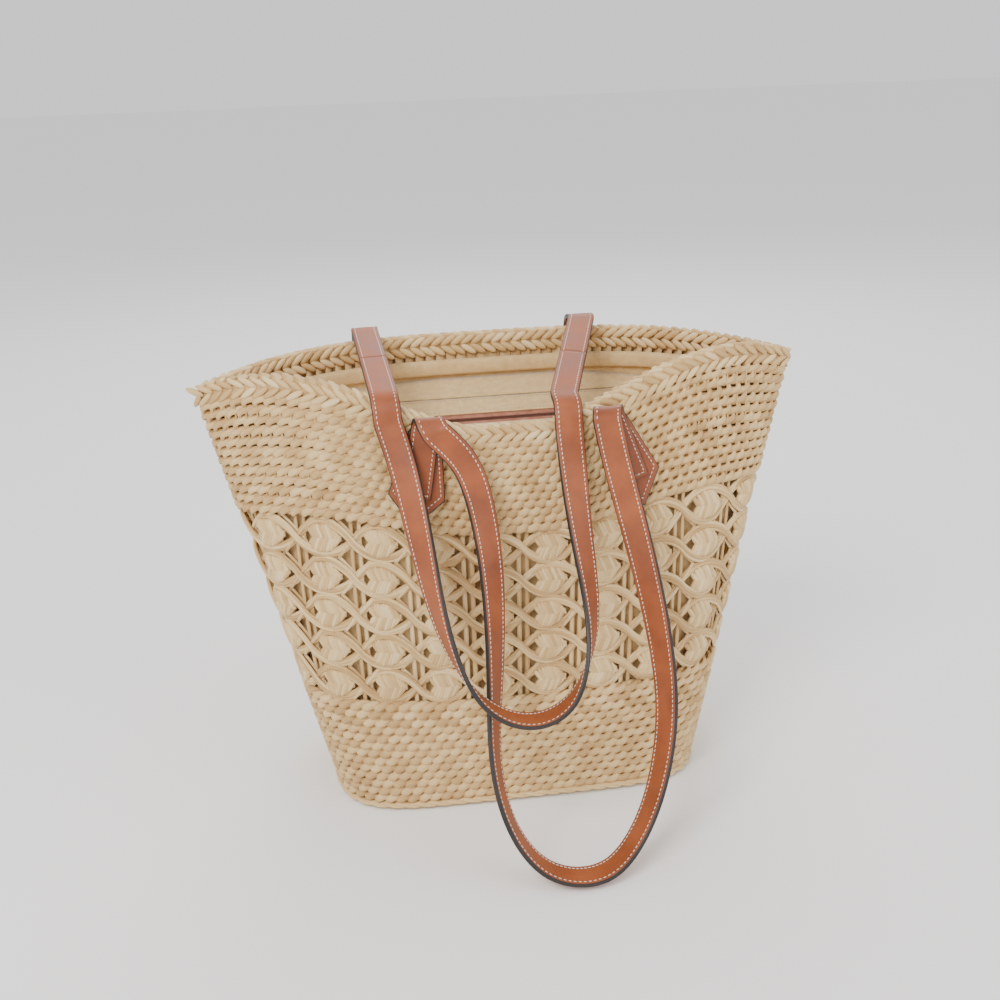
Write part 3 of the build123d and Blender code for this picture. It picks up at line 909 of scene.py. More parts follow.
def rope_rows(batch, first, last, rows, lobes, rng):
    """Rows of two-strand twining, each strand rising to the right where it lies in front."""
    samples = lobes * 5
    around = np.arange(samples) / samples
    pitch = (last - first) / rows
    for row in range(rows):
        middle = first + (row + 0.5) * pitch
        shift = rng.uniform(-0.25, 0.25) + (row % 2) * math.pi / 2
        wander = 0.05 * pitch * np.sin(2 * np.pi * (7 * around + rng.uniform()))
        for strand in range(2):
            phase = np.pi * lobes * around + strand * np.pi + shift
            level = middle + wander + 0.24 * pitch * np.sin(phase)
            out = -2.7 + 2.1 * np.cos(phase)
            line = wall(around, level, out)
            width = pitch * CORNER_HEIGHT * 0.50
            tone = np.repeat(0.5 + 0.32 * np.sin(phase / 2 + rng.uniform(0, 6)) * rng.uniform(0.4, 1), 6)
            add_strand(batch, line, outward(around, level), width, 1.85, tone, closed=True)


def warps(batch, first, last, columns, half, out, rng):
    """Upright stakes behind the rows."""
    level = np.linspace(first, last, 9)
    for column in range(columns):
        around = np.full(9, (column + 0.5) / columns)
        line = wall(around, level, out)
        add_strand(batch, line, outward(around, level), half, 1.1, rng.uniform(0.1, 0.6))


def weave_piece(name, first, last, rows, lobes, seed, *nodes):
    """One band of close weaving, which rides on the bag."""
    rng = np.random.default_rng(seed)
    batch = Batch()
    warps(batch, first, last, lobes, 6.6, -5.8, rng)
    rope_rows(batch, first, last, rows, lobes, rng)
    obj = batch.build(name, straw_material())
    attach(obj, "root")
    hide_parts(*nodes)


def openwork_lines(batch, centre, pitch, columns, rng):
    """Ropes of one openwork row, which part round each pad and cross between the pads."""
    samples = columns * 18
    around = np.arange(samples) / samples
    for strand in range(2):
        sign = 1 - 2 * strand
        for ply in (-1, 0, 1):
            wave = np.cos(np.pi * columns * around)
            swell = np.sign(wave) * np.abs(wave) ** 0.8
            level = centre + sign * 0.41 * pitch * swell + ply * 0.075 * pitch
            out = -2.9 + 1.5 * sign * np.sin(np.pi * columns * around) + 0.5 * (ply == 0)
            tone = np.repeat(0.55 + 0.3 * np.sin(13 * around * np.pi + rng.uniform(0, 6)), 6)
            line = wall(around, level, out)
            add_strand(batch, line, outward(around, level), 1.75, 1.35, tone, closed=True)


def pad_places(places, centre, pitch, columns, rng):
    """Herringbone strips of the pads in one openwork row."""
    length = 1.0 / columns
    for column in range(columns):
        middle = (column + rng.uniform(-0.02, 0.02)) / columns
        for step in range(-4, 5):
            edge = 1 - (abs(step) / 5.2) ** 3
            for half in (-1, 1):
                around = middle + step * 0.052 * length
                level = centre + half * 0.15 * pitch * edge
                point = wall(around, level, -1.5 - 2.6 * (1 - edge))
                ahead = wall(around + 0.05 * length, level - half * 0.19 * pitch * edge, 0)
                behind = wall(around - 0.05 * length, level + half * 0.19 * pitch * edge, 0)
                size = (8.0 * (0.6 + 0.4 * edge), 2.3, 2.5)
                tone = rng.uniform(0.35, 0.95)
                places.add(point, ahead - behind, outward(around, level), size, tone)


def openwork_stakes(batch, columns, rng):
    """Paired stakes through the openwork, behind the pads and the crossings."""
    level = np.linspace(OPENWORK_START - 0.005, OPENWORK_END + 0.005, 41)
    for column in range(2 * columns):
        for pair in (-1, 1):
            width = 0.075 if column % 2 else 0.11
            around = column / (2 * columns) + pair * width / columns + 0 * level
            out = -5.4 + 0 * level
            line = wall(around, level, out)
            add_strand(batch, line, outward(around, level), 2.1, 1.3, rng.uniform(0.3, 0.9))


def cross_strands(batch, centre, pitch, columns, rng):
    """Slanted strands that cross between one row of pads and the next."""
    for column in range(columns):
        for way in (-1, 1):
            share = np.linspace(-1, 1, 13)
            middle = (column + 0.5) / columns
            around = middle + way * share * 0.30 / columns
            level = centre + share * 0.5 * pitch
            out = -4.2 + way * 0.9 * (1 - share ** 2)
            line = wall(around, level, out)
            add_strand(batch, line, outward(around, level), 2.0, 1.25, rng.uniform(0.35, 0.95))


def build_base():
    """Woven base: rings of rope drawn in towards the middle, over a flat mat."""
    rng = np.random.default_rng(5)
    batch = Batch()
    around = np.arange(420) / 420
    edge = wall(around, 0.02, 0)
    centre = np.array([0, 0, 0])
    for ring in range(11):
        share = 0.975 - ring * 0.085
        for strand in range(2):
            phase = np.pi * 2 * (34 - ring * 3) * around + strand * np.pi
            line = centre + (edge - centre) * (share + 0.012 * np.sin(phase))[:, None]
            line[:, 2] = 3.4 + 1.0 * np.cos(phase) + (1.2 if ring == 0 else 0)
            facing = np.tile([0.0, 0.0, -1.0], (420, 1))
            add_strand(batch, line, facing, 4.6, 1.5, rng.uniform(0.3, 0.8), closed=True)
    shares = np.linspace(0.02, 0.97, 10)[:, None, None]
    mat = np.concatenate([edge, edge[:1]])[None] * shares
    mat[..., 2] = 5.6
    normals = np.zeros_like(mat)
    normals[..., 2] = 1
    slab(batch, mat, normals, 1.6, 0.4)
    obj = batch.build("woven_base", straw_material())
    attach(obj, "root")
    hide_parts("base_weave")


def build_lower_weave(settings):
    """Close weaving below the openwork."""
    weave_piece("lower_twining", 0.022, OPENWORK_START, settings.lower_rows, 96, 11, "lower_weave")


def build_upper_weave(settings):
    """Close weaving above the openwork."""
    top = BRAID_START + 0.004
    weave_piece("upper_twining", OPENWORK_END, top, settings.upper_rows, 112, 12, "upper_weave")


def build_openwork(settings):
    """Five rows of plaited pads with ropes that part and cross round them."""
    rng = np.random.default_rng(21)
    columns = settings.openwork_columns
    pitch = (OPENWORK_END - OPENWORK_START) / OPENWORK_ROWS
    batch = Batch()
    openwork_stakes(batch, columns, rng)
    places = Places()
    for row in range(OPENWORK_ROWS):
        centre = OPENWORK_START + (row + 0.5) * pitch
        openwork_lines(batch, centre, pitch, columns, rng)
        cross_strands(batch, centre, pitch, columns, rng)
        pad_places(places, centre, pitch, columns, rng)
    ropes = batch.build("openwork_ropes", straw_material())
    pads = lay_shapes("openwork_pads", places, lobe_mesh("pad_strip"), straw_material(), 0.1, 4)
    rows = [f"openwork_row_{row + 1}" for row in range(OPENWORK_ROWS)]
    for obj in (ropes, pads):
        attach(obj, "root")
    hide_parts(*rows)


def build_braid(settings):
    """Braided rim: slanted lobes outside, over the top and inside, on a core."""
    rng = np.random.default_rng(31)
    core = Batch()
    around = np.arange(360) / 360
    for level, out, wide, thick in ((0.973, -4.5, 6.2, 3.3), (0.99, -4.5, 3.2, 3.6)):
        line = wall(around, level, out)
        facing = outward(around, np.full(360, level))
        add_strand(core, line, facing, wide, thick, 0.25, closed=True, sides=8)
    core_obj = core.build("rim_core", straw_material())
    places = Places()
    count = settings.braid_lobes
    rows = [
        (0.9655, -0.6, 0.55, (8.3, 2.9, 2.3)),
        (0.986, -0.9, -0.55, (8.3, 2.9, 2.3)),
        (0.9965, -4.6, 0.6, (7.6, 2.7, 2.2)),
        (0.986, -8.4, -0.55, (8.0, 2.9, 2.1)),
        (0.9655, -8.6, 0.55, (8.0, 2.9, 2.1)),
    ]
    for level, out, slant, size in rows:
        for index in range(count):
            spot = (index + rng.uniform(-0.06, 0.06)) / count
            point = wall(spot, level, out)
            ahead = wall(spot + 0.003, level, out) - point
            facing = outward(spot, level)
            upward = unit(wall(spot, level, out) - wall(spot, level - 0.02, out))
            run = unit(ahead)
            if level > 0.99:
                run, facing = run * math.cos(slant) + facing * math.sin(slant), upward
            else:
                run = run * math.cos(slant) + upward * math.sin(slant)
            if out < -6:
                facing = -facing
            places.add(point, run, facing, size, rng.uniform(0.3, 0.95))
    lobes = lay_shapes("rim_braid_lobes", places, lobe_mesh("braid_strip"), straw_material(), 0.08, 6)
    for obj in (core_obj, lobes):
        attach(obj, "root")
    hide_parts("rim_braid")


# ---- lining and zip -------------------------------------------------------------------------


def zip_place(x, v, n):
    """Places in the sloping plane of the zip: along it, across it and off it."""
    x, v, n = np.broadcast_arrays(np.asarray(x, float), v, n)
    y = ZIP_DEPTH + v * math.cos(ZIP_SLOPE) - n * math.sin(ZIP_SLOPE)
    z = ZIP_HEIGHT + v * math.sin(ZIP_SLOPE) + n * math.cos(ZIP_SLOPE)
    return np.stack([x, y, z], axis=-1)


ZIP_NORMAL = np.array([0, -math.sin(ZIP_SLOPE), math.cos(ZIP_SLOPE)])


def lining_wrinkles(around, level):
    """Soft upright folds of the lining, deeper in the middle of its height."""
    deep = np.sin(np.pi * np.clip(level, 0, 1)) ** 1.5
    folds = np.sin(2 * np.pi * (9 * around + 0.6 * level))
    folds = folds + 0.6 * np.sin(2 * np.pi * (23 * around - 1.3 * level))
    return deep * (1 + folds) * 0.8


def build_lining():
    """Cotton lining that hangs inside the straw, with its padded hem."""
    batch = Batch()
    around = np.linspace(0, 1, 241)
    levels = np.linspace(0.035, HEM_END, 44)
    grid_around, grid_level = np.meshgrid(around, levels)
    inward = 9.2 + lining_wrinkles(grid_around, grid_level)
    points = wall(grid_around, grid_level, -inward)
    normals = outward(grid_around, grid_level)
    slab(batch, points, normals, 0.9)
    edge = wall(around, 0.035, -9.5)
    shares = np.linspace(0.02, 1.0, 12)[:, None, None]
    floor = edge[None] * shares
    floor[..., 2] = 11.0
    flat = np.zeros_like(floor)
    flat[..., 2] = 1
    slab(batch, floor, flat, 0.9)
    obj = batch.build("lining", cotton_material())
    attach(obj, "root")
    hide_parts("lining_bag")
    hem = Batch()
    ring = np.arange(480) / 480
    level = np.full(480, (HEM_START + HEM_END) / 2)
    line = wall(ring, level, -11.6)
    puff = 1.5 + 0.12 * np.sin(2 * np.pi * 61 * ring) * np.sin(2 * np.pi * 7 * ring)
    add_strand(hem, line, outward(ring, level), 6.2, puff, 0.8, closed=True, sides=12)
    hem_obj = hem.build("lining_hem_roll", cotton_material())
    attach(hem_obj, "root")
    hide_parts("lining_hem")


def facing_outline(count):
    """Where the zip's plane meets the inside of the lining, all the way round."""
    around = np.arange(count) / count
    levels = np.linspace(0.5, 1.0, 160)
    grid = wall(around[None, :], levels[:, None], -10.6)
    plane = ZIP_HEIGHT + (grid[..., 1] - ZIP_DEPTH) * math.tan(ZIP_SLOPE)
    above = (grid[..., 2] - plane) > 0
    first = np.maximum(above.argmax(axis=0), 1)
    columns = np.arange(count)
    low = (grid[..., 2] - plane)[first - 1, columns]
    high = (grid[..., 2] - plane)[first, columns]
    share = (-low / (high - low))[:, None]
    return grid[first - 1, columns] * (1 - share) + grid[first, columns] * share


def opening_edge(direction_x, direction_v):
    """Edge of the facing's opening, with its two slots for the zip's ends."""
    reach_x = (FLAP_HALF_LENGTH + 0.8) / np.maximum(np.abs(direction_x), 1e-9)
    side = np.where(direction_v > 0, BACK_FLAP_WIDTH, FRONT_FLAP_WIDTH)
    reach_v = side / np.maximum(np.abs(direction_v), 1e-9)
    plain = np.minimum(reach_x, reach_v)
    narrow = np.abs(direction_v) * plain < TAPE_HALF_WIDTH
    slot_x = (FLAP_HALF_LENGTH + 18.2) / np.maximum(np.abs(direction_x), 1e-9)
    slot_v = (TAPE_HALF_WIDTH + 0.2) / np.maximum(np.abs(direction_v), 1e-9)
    slotted = np.maximum(np.minimum(slot_x, slot_v), plain)
    return np.where(narrow & (reach_x <= reach_v), slotted, plain)


def build_facing():
    """Fixed cotton panel between the lining and the flaps."""
    count = 960
    outer = facing_outline(count)
    x = outer[:, 0]
    v = (outer[:, 1] - ZIP_DEPTH) / math.cos(ZIP_SLOPE)
    length = np.hypot(x, v)
    edge = opening_edge(x / length, v / length)
    shares = np.linspace(0, 1, 7)[:, None]
    radius = np.minimum(edge, length - 1)[None, :] * (1 - shares) + length[None, :] * shares
    grid_x = radius * (x / length)[None, :]
    grid_v = radius * (v / length)[None, :]
    ripple = 0.35 * np.sin(grid_x / 17.0) * np.sin(shares * np.pi)
    points = zip_place(grid_x, grid_v, ripple)
    points = np.concatenate([points, points[:, :1]], axis=1)
    normals = np.broadcast_to(ZIP_NORMAL, points.shape)
    batch = Batch()
    slab(batch, points, normals, 1.1)
    obj = batch.build("zip_panel", cotton_material())
    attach(obj, "root")
    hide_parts("zip_facing")


def flat_strip(x_low, x_high, v_low, v_high, height, steps, rise=0.0):
    """Grid of places for a strip in the plane of the zip."""
    x = np.linspace(x_low, x_high, steps)[None, :]
    v = np.linspace(v_low, v_high, 7)[:, None]
    return zip_place(x, v, height + rise * np.sin(x / 13.0) * np.sin(x / 5.3 + v * 0.2))


def strip_object(name, body, slot_name, material, strips, *nodes):
    """Strips of cloth gathered in one piece, which rides on a body."""
    batch = Batch()
    for grid, thickness in strips:
        slab(batch, grid, np.broadcast_to(ZIP_NORMAL, grid.shape), thickness)
    obj = batch.build(name, material)
    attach(obj, body)
    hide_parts(*nodes)
    return obj


def zip_stitches(name, body, lines, pitch, material):
    """Rows of small stitches on the flaps."""
    places = Places()
    for v, height, dot in lines:
        for x in np.arange(-FLAP_HALF_LENGTH + 2, FLAP_HALF_LENGTH - 2, pitch):
            places.add(zip_place(x, v, height), (1, 0, 0), ZIP_NORMAL, (dot, 0.35, 0.35), 0.7)
    obj = lay_shapes(name, places, lobe_mesh(name + "_shape", 5, 6), material, 0.1, 7)
    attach(obj, body)


def build_zip(settings):
    """Both flaps with their tapes, coils and stitching, and the fixed ends of the zip."""
    length = FLAP_HALF_LENGTH
    thread = thread_material("Cotton Thread", (0.45, 0.30, 0.13), (0.78, 0.60, 0.34))
    widths = {"back": BACK_FLAP_WIDTH - 1.6, "front": FRONT_FLAP_WIDTH - 1.6}
    for side, name in ((BACK, "back"), (FRONT, "front")):
        width = widths[name]
        body = f"{name}_zip_flap"
        low, high = sorted((side * TAPE_HALF_WIDTH, side * width))
        folded = sorted((side * (TAPE_HALF_WIDTH - 4.5), side * (TAPE_HALF_WIDTH + 1.5)))
        strips = [(flat_strip(-length, length, low, high, 0, 150, 0.18), 1.1)]
        strips.append((flat_strip(-length, length, *folded, 1.0, 120, 0.05), 0.8))
        cotton = cotton_material()
        flap = strip_object(f"{name}_flap_cloth", body, "lining_cotton", cotton, strips, f"{name}_flap")
        inner, outer = sorted((side * 2.3, side * TAPE_HALF_WIDTH))
        strips = [(flat_strip(-length, length, inner, outer, 0, 60), 0.7)]
        strip_object(f"{name}_tape", body, "zip_tape", tape_material(), strips, f"{name}_zip_tape")
        lines = [(side * (TAPE_HALF_WIDTH - 1.2), 1.6, 1.0), (side * (width - 3.0), 0.8, 1.1)]
        zip_stitches(f"{name}_flap_stitches", body, lines, settings.stitch_pitch, thread)
        places = Places()
        for x in np.arange(-length + 0.8, length - 0.5, 1.5):
            point = zip_place(x + (0.75 if side > 0 else 0), side * 1.35, 0.0)
            run = (0.25, side * math.cos(ZIP_SLOPE), side * math.sin(ZIP_SLOPE))
            places.add(point, run, ZIP_NORMAL, (1.35, 0.55, 0.9), 0.5)
        tooth = lobe_mesh(f"{name}_tooth", 5, 6)
        teeth = lay_shapes(f"{name}_coil", places, tooth, teeth_material(), 0.02, 8)
        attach(teeth, body)
        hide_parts(f"{name}_zip_teeth")
    for side, name in ((-1, "left"), (1, "right")):
        low, high = sorted((side * (length + 0.9), side * (length + 18.0)))
        strips = [(flat_strip(low, high, -TAPE_HALF_WIDTH, TAPE_HALF_WIDTH, 0, 12), 0.7)]
        stop_low, stop_high = sorted((side * (length + 14.0), side * (length + 17.0)))
        strips.append((flat_strip(stop_low, stop_high, -2.0, 2.0, 0.2, 4), 1.7))
        strip_object(f"zip_tape_end_{name}", "root", "zip_tape", tape_material(), strips, f"zip_end_{name}")


def build_slider():
    """Brass slider and puller, with softened edges."""
    for name in ("zip_slider", "zip_puller"):
        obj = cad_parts[name]
        obj.data.materials.clear()
        obj.data.materials.append(brass_material())
        bevel = obj.modifiers.new("Softened edges", "BEVEL")
        bevel.width = 0.0002
        bevel.segments = 2


# ---- leather --------------------------------------------------------------------------------

STRAP_PROFILE = [
    (-10.3, -1.72), (-7.5, -1.62), (-3, -1.78), (3, -1.78), (7.5, -1.62), (10.3, -1.72),
    (10.85, -1.25), (11, -0.35), (10.75, 0), (11, 0.35), (10.85, 1.25),
    (10.3, 1.72), (7.5, 1.62), (3, 1.78), (-3, 1.78), (-7.5, 1.62), (-10.3, 1.72),
    (-10.85, 1.25), (-11, 0.35), (-10.75, 0), (-11, -0.35), (-10.85, -1.25),
]


def strap_axes(line, turns):
    """Tangent, width and face directions along a strap."""
    tangent = unit(np.gradient(line, axis=0))
    angle = np.radians(turns)
    width = np.stack([-np.cos(angle), -np.sin(angle), 0 * angle], axis=-1)
    width = unit(width - tangent * np.sum(tangent * width, axis=1, keepdims=True))
    return tangent, width, np.cross(tangent, width)


def strap_mesh(name, line, turns):
    """Two-layer leather strap with painted edges, along a line."""
    width, face = strap_axes(line, turns)[1:]
    profile = np.array(STRAP_PROFILE)
    sides, count = len(profile), len(line)
    verts = line[:, None] + width[:, None] * profile[None, :, :1] + face[:, None] * profile[None, :, 1:]
    faces, marks = [], []
    for i in range(count - 1):
        for k in range(sides):
            m = (k + 1) % sides
            faces.append([i * sides + k, i * sides + m, (i + 1) * sides + m, (i + 1) * sides + k])
            narrow = min(abs(profile[k][0]), abs(profile[m][0])) > EDGE_FROM
            marks.append(int(narrow and abs(profile[k][0] - profile[m][0]) < 1))
    faces += [list(range(sides)), [(count - 1) * sides + k for k in reversed(range(sides))]]
    marks += [1, 1]
    run = np.concatenate([[0], np.cumsum(np.linalg.norm(np.diff(line, axis=0), axis=1))])
    batch = Batch()
    batch.add(verts, faces, np.repeat(run, sides), np.tile(profile[:, 0] / 11, count), 0.5, marks)
    return batch.build(name, leather_material(), edge_material())


def strap_stitches(name, line, turns, pitch, trim=(3, 3)):
    """Saddle stitches near both edges, on both faces of a strap."""
    tangent, width, face = strap_axes(line, turns)
    run = np.concatenate([[0], np.cumsum(np.linalg.norm(np.diff(line, axis=0), axis=1))])
    places = Places()
    for spot in np.arange(trim[0], run[-1] - trim[1], pitch):
        tracks = (line, tangent, width, face)
        at = [np.array([np.interp(spot, run, data[:, i]) for i in range(3)]) for data in tracks]
        for edge in (-STITCH_EDGE, STITCH_EDGE):
            for side in (-1, 1):
                point = at[0] + at[2] * edge + at[3] * side * STRAP_FACE
                places.add(point, at[1] + at[2] * 0.12, at[3] * side, STITCH_SIZE, 0.7)
    thread = thread_material("Saddle Thread", (0.62, 0.50, 0.42), (0.90, 0.82, 0.74))
    return lay_shapes(name, places, lobe_mesh(name + "_shape", 5, 6), thread, 0.06, 9)


def build_tabs(settings):
    """Four pointed leather tabs with painted edges and stitching."""
    outline = [(-13, 48), (-11.5, 52.2), (-8, 54), (8, 54), (11.5, 52.2), (13, 48)]
    outline += [(22, 0), (0, -24), (-22, 0)]
    dense = []
    for a, b in zip(outline, outline[1:] + outline[:1]):
        steps = max(2, int(np.hypot(a[0] - b[0], a[1] - b[1]) / 3))
        dense += [np.array(a) * (1 - s / steps) + np.array(b) * s / steps for s in range(steps)]
    dense = np.array(dense)
    middle = np.array([0.0, 16.0])
    batch, places = Batch(), Places()
    low, high = TAB_STANDOFF, TAB_STANDOFF + TAB
    layers = [(0.965, low), (1.0, low + 0.5), (1.0, high - 0.6), (0.965, high), (0.8, high - 0.12)]
    size = len(dense)
    for name in TABS:
        point, across, up, normal, angle = tab_axes(name)
        verts = []
        for share, off in layers:
            flat = middle + (dense - middle) * share
            verts += [point + across * p[0] + up * p[1] + normal * off for p in flat]
        faces, marks = [], []
        for layer in range(len(layers) - 1):
            for k in range(size):
                m = (k + 1) % size
                first, last = layer * size, (layer + 1) * size
                faces.append([first + k, first + m, last + m, last + k])
                marks.append(1 if layer < 3 else 0)
        faces += [list(range(size)), [(len(layers) - 1) * size + k for k in reversed(range(size))]]
        marks += [0, 0]
        batch.add(verts, faces, 0, 0, 0.5, marks)
        ring = middle + (dense - middle) * 0.83
        ring = np.concatenate([ring, ring[:1]])
        run = np.concatenate([[0], np.cumsum(np.linalg.norm(np.diff(ring, axis=0), axis=1))])
        for spot in np.arange(0, run[-1] - 1, settings.stitch_pitch):
            here = [np.interp(spot, run, ring[:, i]) for i in (0, 1)]
            ahead = [np.interp(spot + 1, run, ring[:, i]) for i in (0, 1)]
            way = across * (ahead[0] - here[0]) + up * (ahead[1] - here[1])
            place = point + across * here[0] + up * here[1] + normal * (high + 0.05)
            places.add(place, way, normal, STITCH_SIZE, 0.7)
        for x in np.arange(-7, 7.1, 3.4):
            off = high + LAYER_GAP + STRAP
            place = point + across * x + up * 3.0 + normal * off
            places.add(place, across, normal, STITCH_SIZE, 0.7)
    tabs = batch.build("strap_tabs", leather_material(), edge_material())
    thread = thread_material("Saddle Thread", (0.62, 0.50, 0.42), (0.90, 0.82, 0.74))
    stitches = lay_shapes("tab_stitches", places, lobe_mesh("tab_stitch_shape", 5, 6), thread, 0.06, 10)
    for obj in (tabs, stitches):
        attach(obj, "root")
    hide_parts(*[f"{side}_tab_{name}" for side in ("front", "back") for name in ("left", "right")])


def bend_between(obj):
    """Bakes the piece's placing into its mesh."""
    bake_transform(obj)


def build_front_strap(settings):
    """Front strap, from one tab down to the floor in front and back to the other tab."""
    line, turns = front_strap_line()
    strap = strap_mesh("front_strap_leather", line, turns)
    stitches = strap_stitches("front_strap_stitches", line, turns, settings.stitch_pitch)
    for obj in (strap, stitches):
        bend_between(obj)
    nodes = [f"front_strap_{part}_{name}" for part in ("end", "fold") for name in ("left", "right")]
    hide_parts("front_strap_loop", *nodes)


def build_back_strap(settings):
    """Back strap, over the back rim, across the mouth and down over the front rim."""
    for name in ("left", "right"):
        line, turns = back_strap_rear_line(name)
        strap = strap_mesh(f"back_strap_rear_{name}", line, turns)
        title = f"back_strap_rear_stitches_{name}"
        stitches = strap_stitches(title, line, turns, settings.stitch_pitch, (3, 1.5))
        for obj in (strap, stitches):
            bend_between(obj)
        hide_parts(*[f"back_strap_{part}_{name}" for part in ("end", "fold", "bridge")])
    line, turns = back_strap_front_line()
    strap = strap_mesh("back_strap_front", line, turns)
    stitches = strap_stitches("back_strap_front_stitches", line, turns, settings.stitch_pitch, (1.5, 1.5))
    for obj in (strap, stitches):
        bend_between(obj)
    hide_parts("back_strap_loop", "back_strap_bend_left", "back_strap_bend_right")


# ---- stage ----------------------------------------------------------------------------------


def add_light(name, place, target, size, power, colour):
    """Soft square light aimed at a place."""
    data = bpy.data.lights.new(name, "AREA")
    data.shape = "SQUARE"
    data.size = size
    data.energy = power
    data.color = colour
    obj = bpy.data.objects.new(name, data)
    bpy.context.scene.collection.objects.link(obj)
    obj.location = place
    obj.rotation_euler = (Vector(target) - Vector(place)).to_track_quat("-Z", "Y").to_euler()
    return obj


def build_stage():
    """Pale floor, soft lights and the camera."""
    bpy.ops.mesh.primitive_plane_add(size=30, location=(0, 0, 0))
    floor = bpy.context.object
    floor.name = "floor"
    material, *_, shader = start_material("Floor", 0.9)
    shader.inputs["Base Color"].default_value = (0.93, 0.93, 0.93, 1)
    floor.data.materials.append(material)
    middle = (0, 0, 0.16)
    lights = [
        add_light("key", (-1.1, -1.5, 1.9), middle, 1.1, 48, (1.0, 0.97, 0.93)),
        add_light("fill", (1.7, -1.2, 1.2), middle, 1.6, 14, (1.0, 0.98, 0.96)),
        add_light("back", (0.3, 1.7, 1.7), middle, 1.4, 20, (1.0, 1.0, 1.0)),
    ]
    world = bpy.data.worlds.new("Studio")
    world.use_nodes = True
    world.node_tree.nodes["Background"].inputs["Color"].default_value = (1, 1, 1, 1)
    world.node_tree.nodes["Background"].inputs["Strength"].default_value = 1.0
    bpy.context.scene.world = world
    azimuth, elevation, roll = (math.radians(a) for a in (-6.9, 20.0, 2.1))
    level_back = Vector((math.sin(azimuth), -math.cos(azimuth), 0))
    back = level_back * math.cos(elevation) + Vector((0, 0, math.sin(elevation)))
    level_right = Vector((math.cos(azimuth), math.sin(azimuth), 0))
    level_up = level_right.cross(-back)
    right = math.cos(roll) * level_right - math.sin(roll) * level_up
    up = math.sin(roll) * level_right + math.cos(roll) * level_up
    data = bpy.data.cameras.new("camera")
    data.lens = 44.77
    data.sensor_width = 36.0
    camera = bpy.data.objects.new("camera", data)
    bpy.context.scene.collection.objects.link(camera)
    turn = Matrix((right, up, back)).transposed().to_4x4()
    camera.matrix_world = Matrix.Translation((-0.1187, -0.9697, 0.5847)) @ turn
    bpy.context.scene.camera = camera


# ---- add-on ---------------------------------------------------------------------------------


class BeachBagSettings(bpy.types.PropertyGroup):
    """Counts and pitches that shape the bag's detail."""

    lower_rows: IntProperty(
        name="Lower rows",
        description="Twined rows below the openwork",
        default=13,
        min=6,
        max=20,
    )
    upper_rows: IntProperty(
        name="Upper rows",
        description="Twined rows above the openwork",
        default=12,
        min=6,
        max=20,
    )
    openwork_columns: IntProperty(
        name="Openwork columns",
        description="Plaited pads round the bag, an even number",
        default=22,
        min=8,
        max=40,
        step=2,
    )
    braid_lobes: IntProperty(
        name="Rim lobes",
        description="Lobes round each row of the rim",
        default=112,
        min=40,
        max=200,
    )
    stitch_pitch: FloatProperty(
        name="Stitch pitch",
        description="Distance between stitches, in millimetres",
        default=3.5,
        min=2.0,
        max=8.0,
        subtype="NONE",
    )


class BAG_OT_base(bpy.types.Operator):
    """Build the woven base"""

    bl_idname = "beach_bag.base"
    bl_label = "Woven Base"

    def execute(self, context):
        build_base()
        return {"FINISHED"}


class BAG_OT_lower_weave(bpy.types.Operator):
    """Build the close weaving below the openwork"""

    bl_idname = "beach_bag.lower_weave"
    bl_label = "Lower Weave"

    def execute(self, context):
        build_lower_weave(context.scene.beach_bag)
        return {"FINISHED"}


class BAG_OT_openwork(bpy.types.Operator):
    """Build the openwork band of plaited pads"""

    bl_idname = "beach_bag.openwork"
    bl_label = "Openwork"

    def execute(self, context):
        build_openwork(context.scene.beach_bag)
        return {"FINISHED"}


class BAG_OT_upper_weave(bpy.types.Operator):
    """Build the close weaving above the openwork"""

    bl_idname = "beach_bag.upper_weave"
    bl_label = "Upper Weave"

    def execute(self, context):
        build_upper_weave(context.scene.beach_bag)
        return {"FINISHED"}


class BAG_OT_braid(bpy.types.Operator):
    """Build the braided rim"""

    bl_idname = "beach_bag.braid"
    bl_label = "Rim Braid"

    def execute(self, context):
        build_braid(context.scene.beach_bag)
        return {"FINISHED"}


class BAG_OT_lining(bpy.types.Operator):
    """Build the lining, its hem and the panel round the zip"""

    bl_idname = "beach_bag.lining"
    bl_label = "Lining"

    def execute(self, context):
        build_lining()
        build_facing()
        return {"FINISHED"}


class BAG_OT_zip(bpy.types.Operator):
    """Build the zip with its flaps, tapes, coils, slider and puller"""

    bl_idname = "beach_bag.zip"
    bl_label = "Zip"

    def execute(self, context):
        build_zip(context.scene.beach_bag)
        build_slider()
        return {"FINISHED"}


class BAG_OT_tabs(bpy.types.Operator):
    """Build the four leather tabs"""

    bl_idname = "beach_bag.tabs"
    bl_label = "Tabs"

    def execute(self, context):
        build_tabs(context.scene.beach_bag)
        return {"FINISHED"}


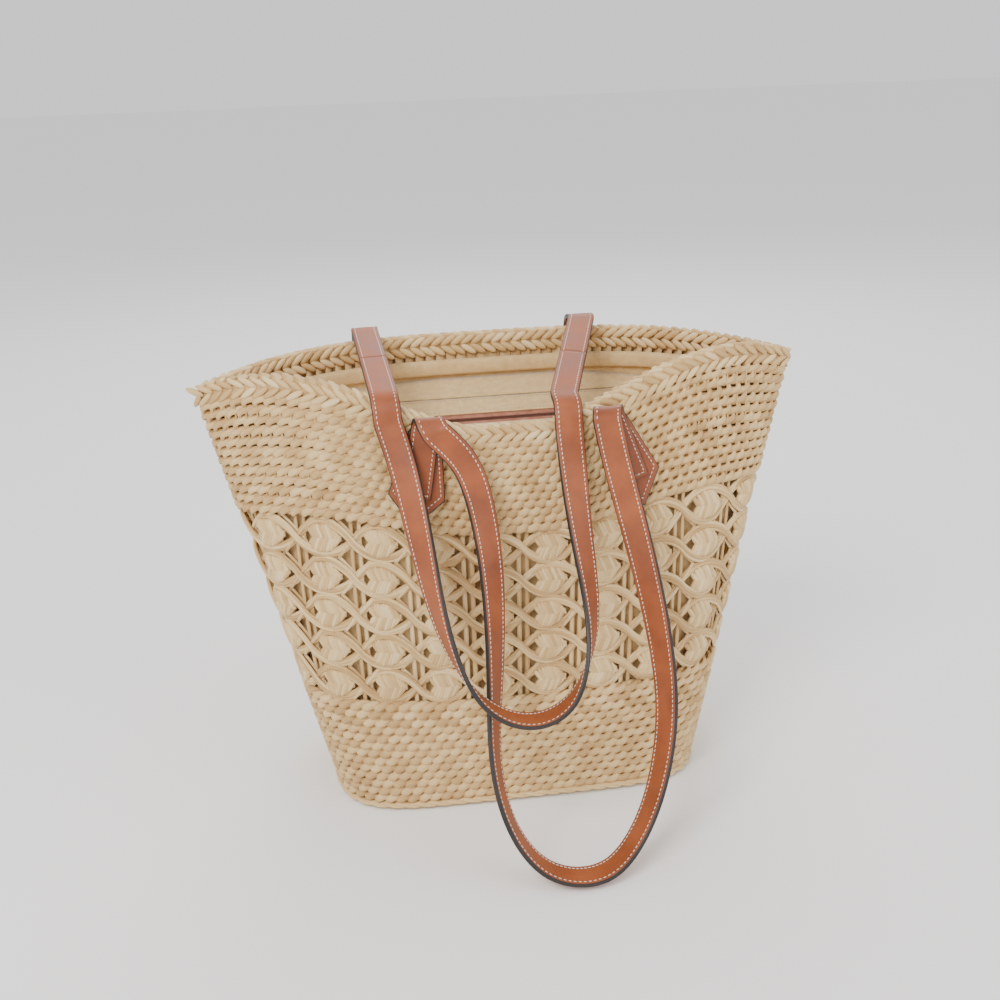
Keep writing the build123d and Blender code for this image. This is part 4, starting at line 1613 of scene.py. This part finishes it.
class BAG_OT_front_strap(bpy.types.Operator):
    """Build the front strap and its stitching"""

    bl_idname = "beach_bag.front_strap"
    bl_label = "Front Strap"

    def execute(self, context):
        build_front_strap(context.scene.beach_bag)
        return {"FINISHED"}


class BAG_OT_back_strap(bpy.types.Operator):
    """Build the back strap and its stitching"""

    bl_idname = "beach_bag.back_strap"
    bl_label = "Back Strap"

    def execute(self, context):
        build_back_strap(context.scene.beach_bag)
        return {"FINISHED"}


class BAG_OT_stage(bpy.types.Operator):
    """Build the floor, the lights and the camera"""

    bl_idname = "beach_bag.stage"
    bl_label = "Stage"

    def execute(self, context):
        build_stage()
        return {"FINISHED"}


OPERATORS = (
    BAG_OT_base,
    BAG_OT_lower_weave,
    BAG_OT_openwork,
    BAG_OT_upper_weave,
    BAG_OT_braid,
    BAG_OT_lining,
    BAG_OT_zip,
    BAG_OT_tabs,
    BAG_OT_front_strap,
    BAG_OT_back_strap,
    BAG_OT_stage,
)


class BAG_PT_panel(bpy.types.Panel):
    """Sidebar panel with the settings and one button for each piece"""

    bl_idname = "BAG_PT_panel"
    bl_label = "Straw Beach Bag"
    bl_space_type = "VIEW_3D"
    bl_region_type = "UI"
    bl_category = "Beach Bag"

    def draw(self, context):
        settings = context.scene.beach_bag
        for key in ("lower_rows", "upper_rows", "openwork_columns", "braid_lobes", "stitch_pitch"):
            self.layout.prop(settings, key)
        for operator in OPERATORS:
            self.layout.operator(operator.bl_idname)


CLASSES = (BeachBagSettings, *OPERATORS, BAG_PT_panel)


def register():
    """Registers every class and the settings."""
    for item in CLASSES:
        bpy.utils.register_class(item)
    bpy.types.Scene.beach_bag = PointerProperty(type=BeachBagSettings)


def unregister():
    """Removes the settings and every class."""
    del bpy.types.Scene.beach_bag
    for item in reversed(CLASSES):
        bpy.utils.unregister_class(item)


def main():
    """Builds the bag piece by piece."""
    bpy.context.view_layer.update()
    register()
    for operator in OPERATORS:
        group, name = operator.bl_idname.split(".")
        getattr(getattr(bpy.ops, group), name)()
    bpy.context.view_layer.update()


if __name__ == "__main__":
    main()
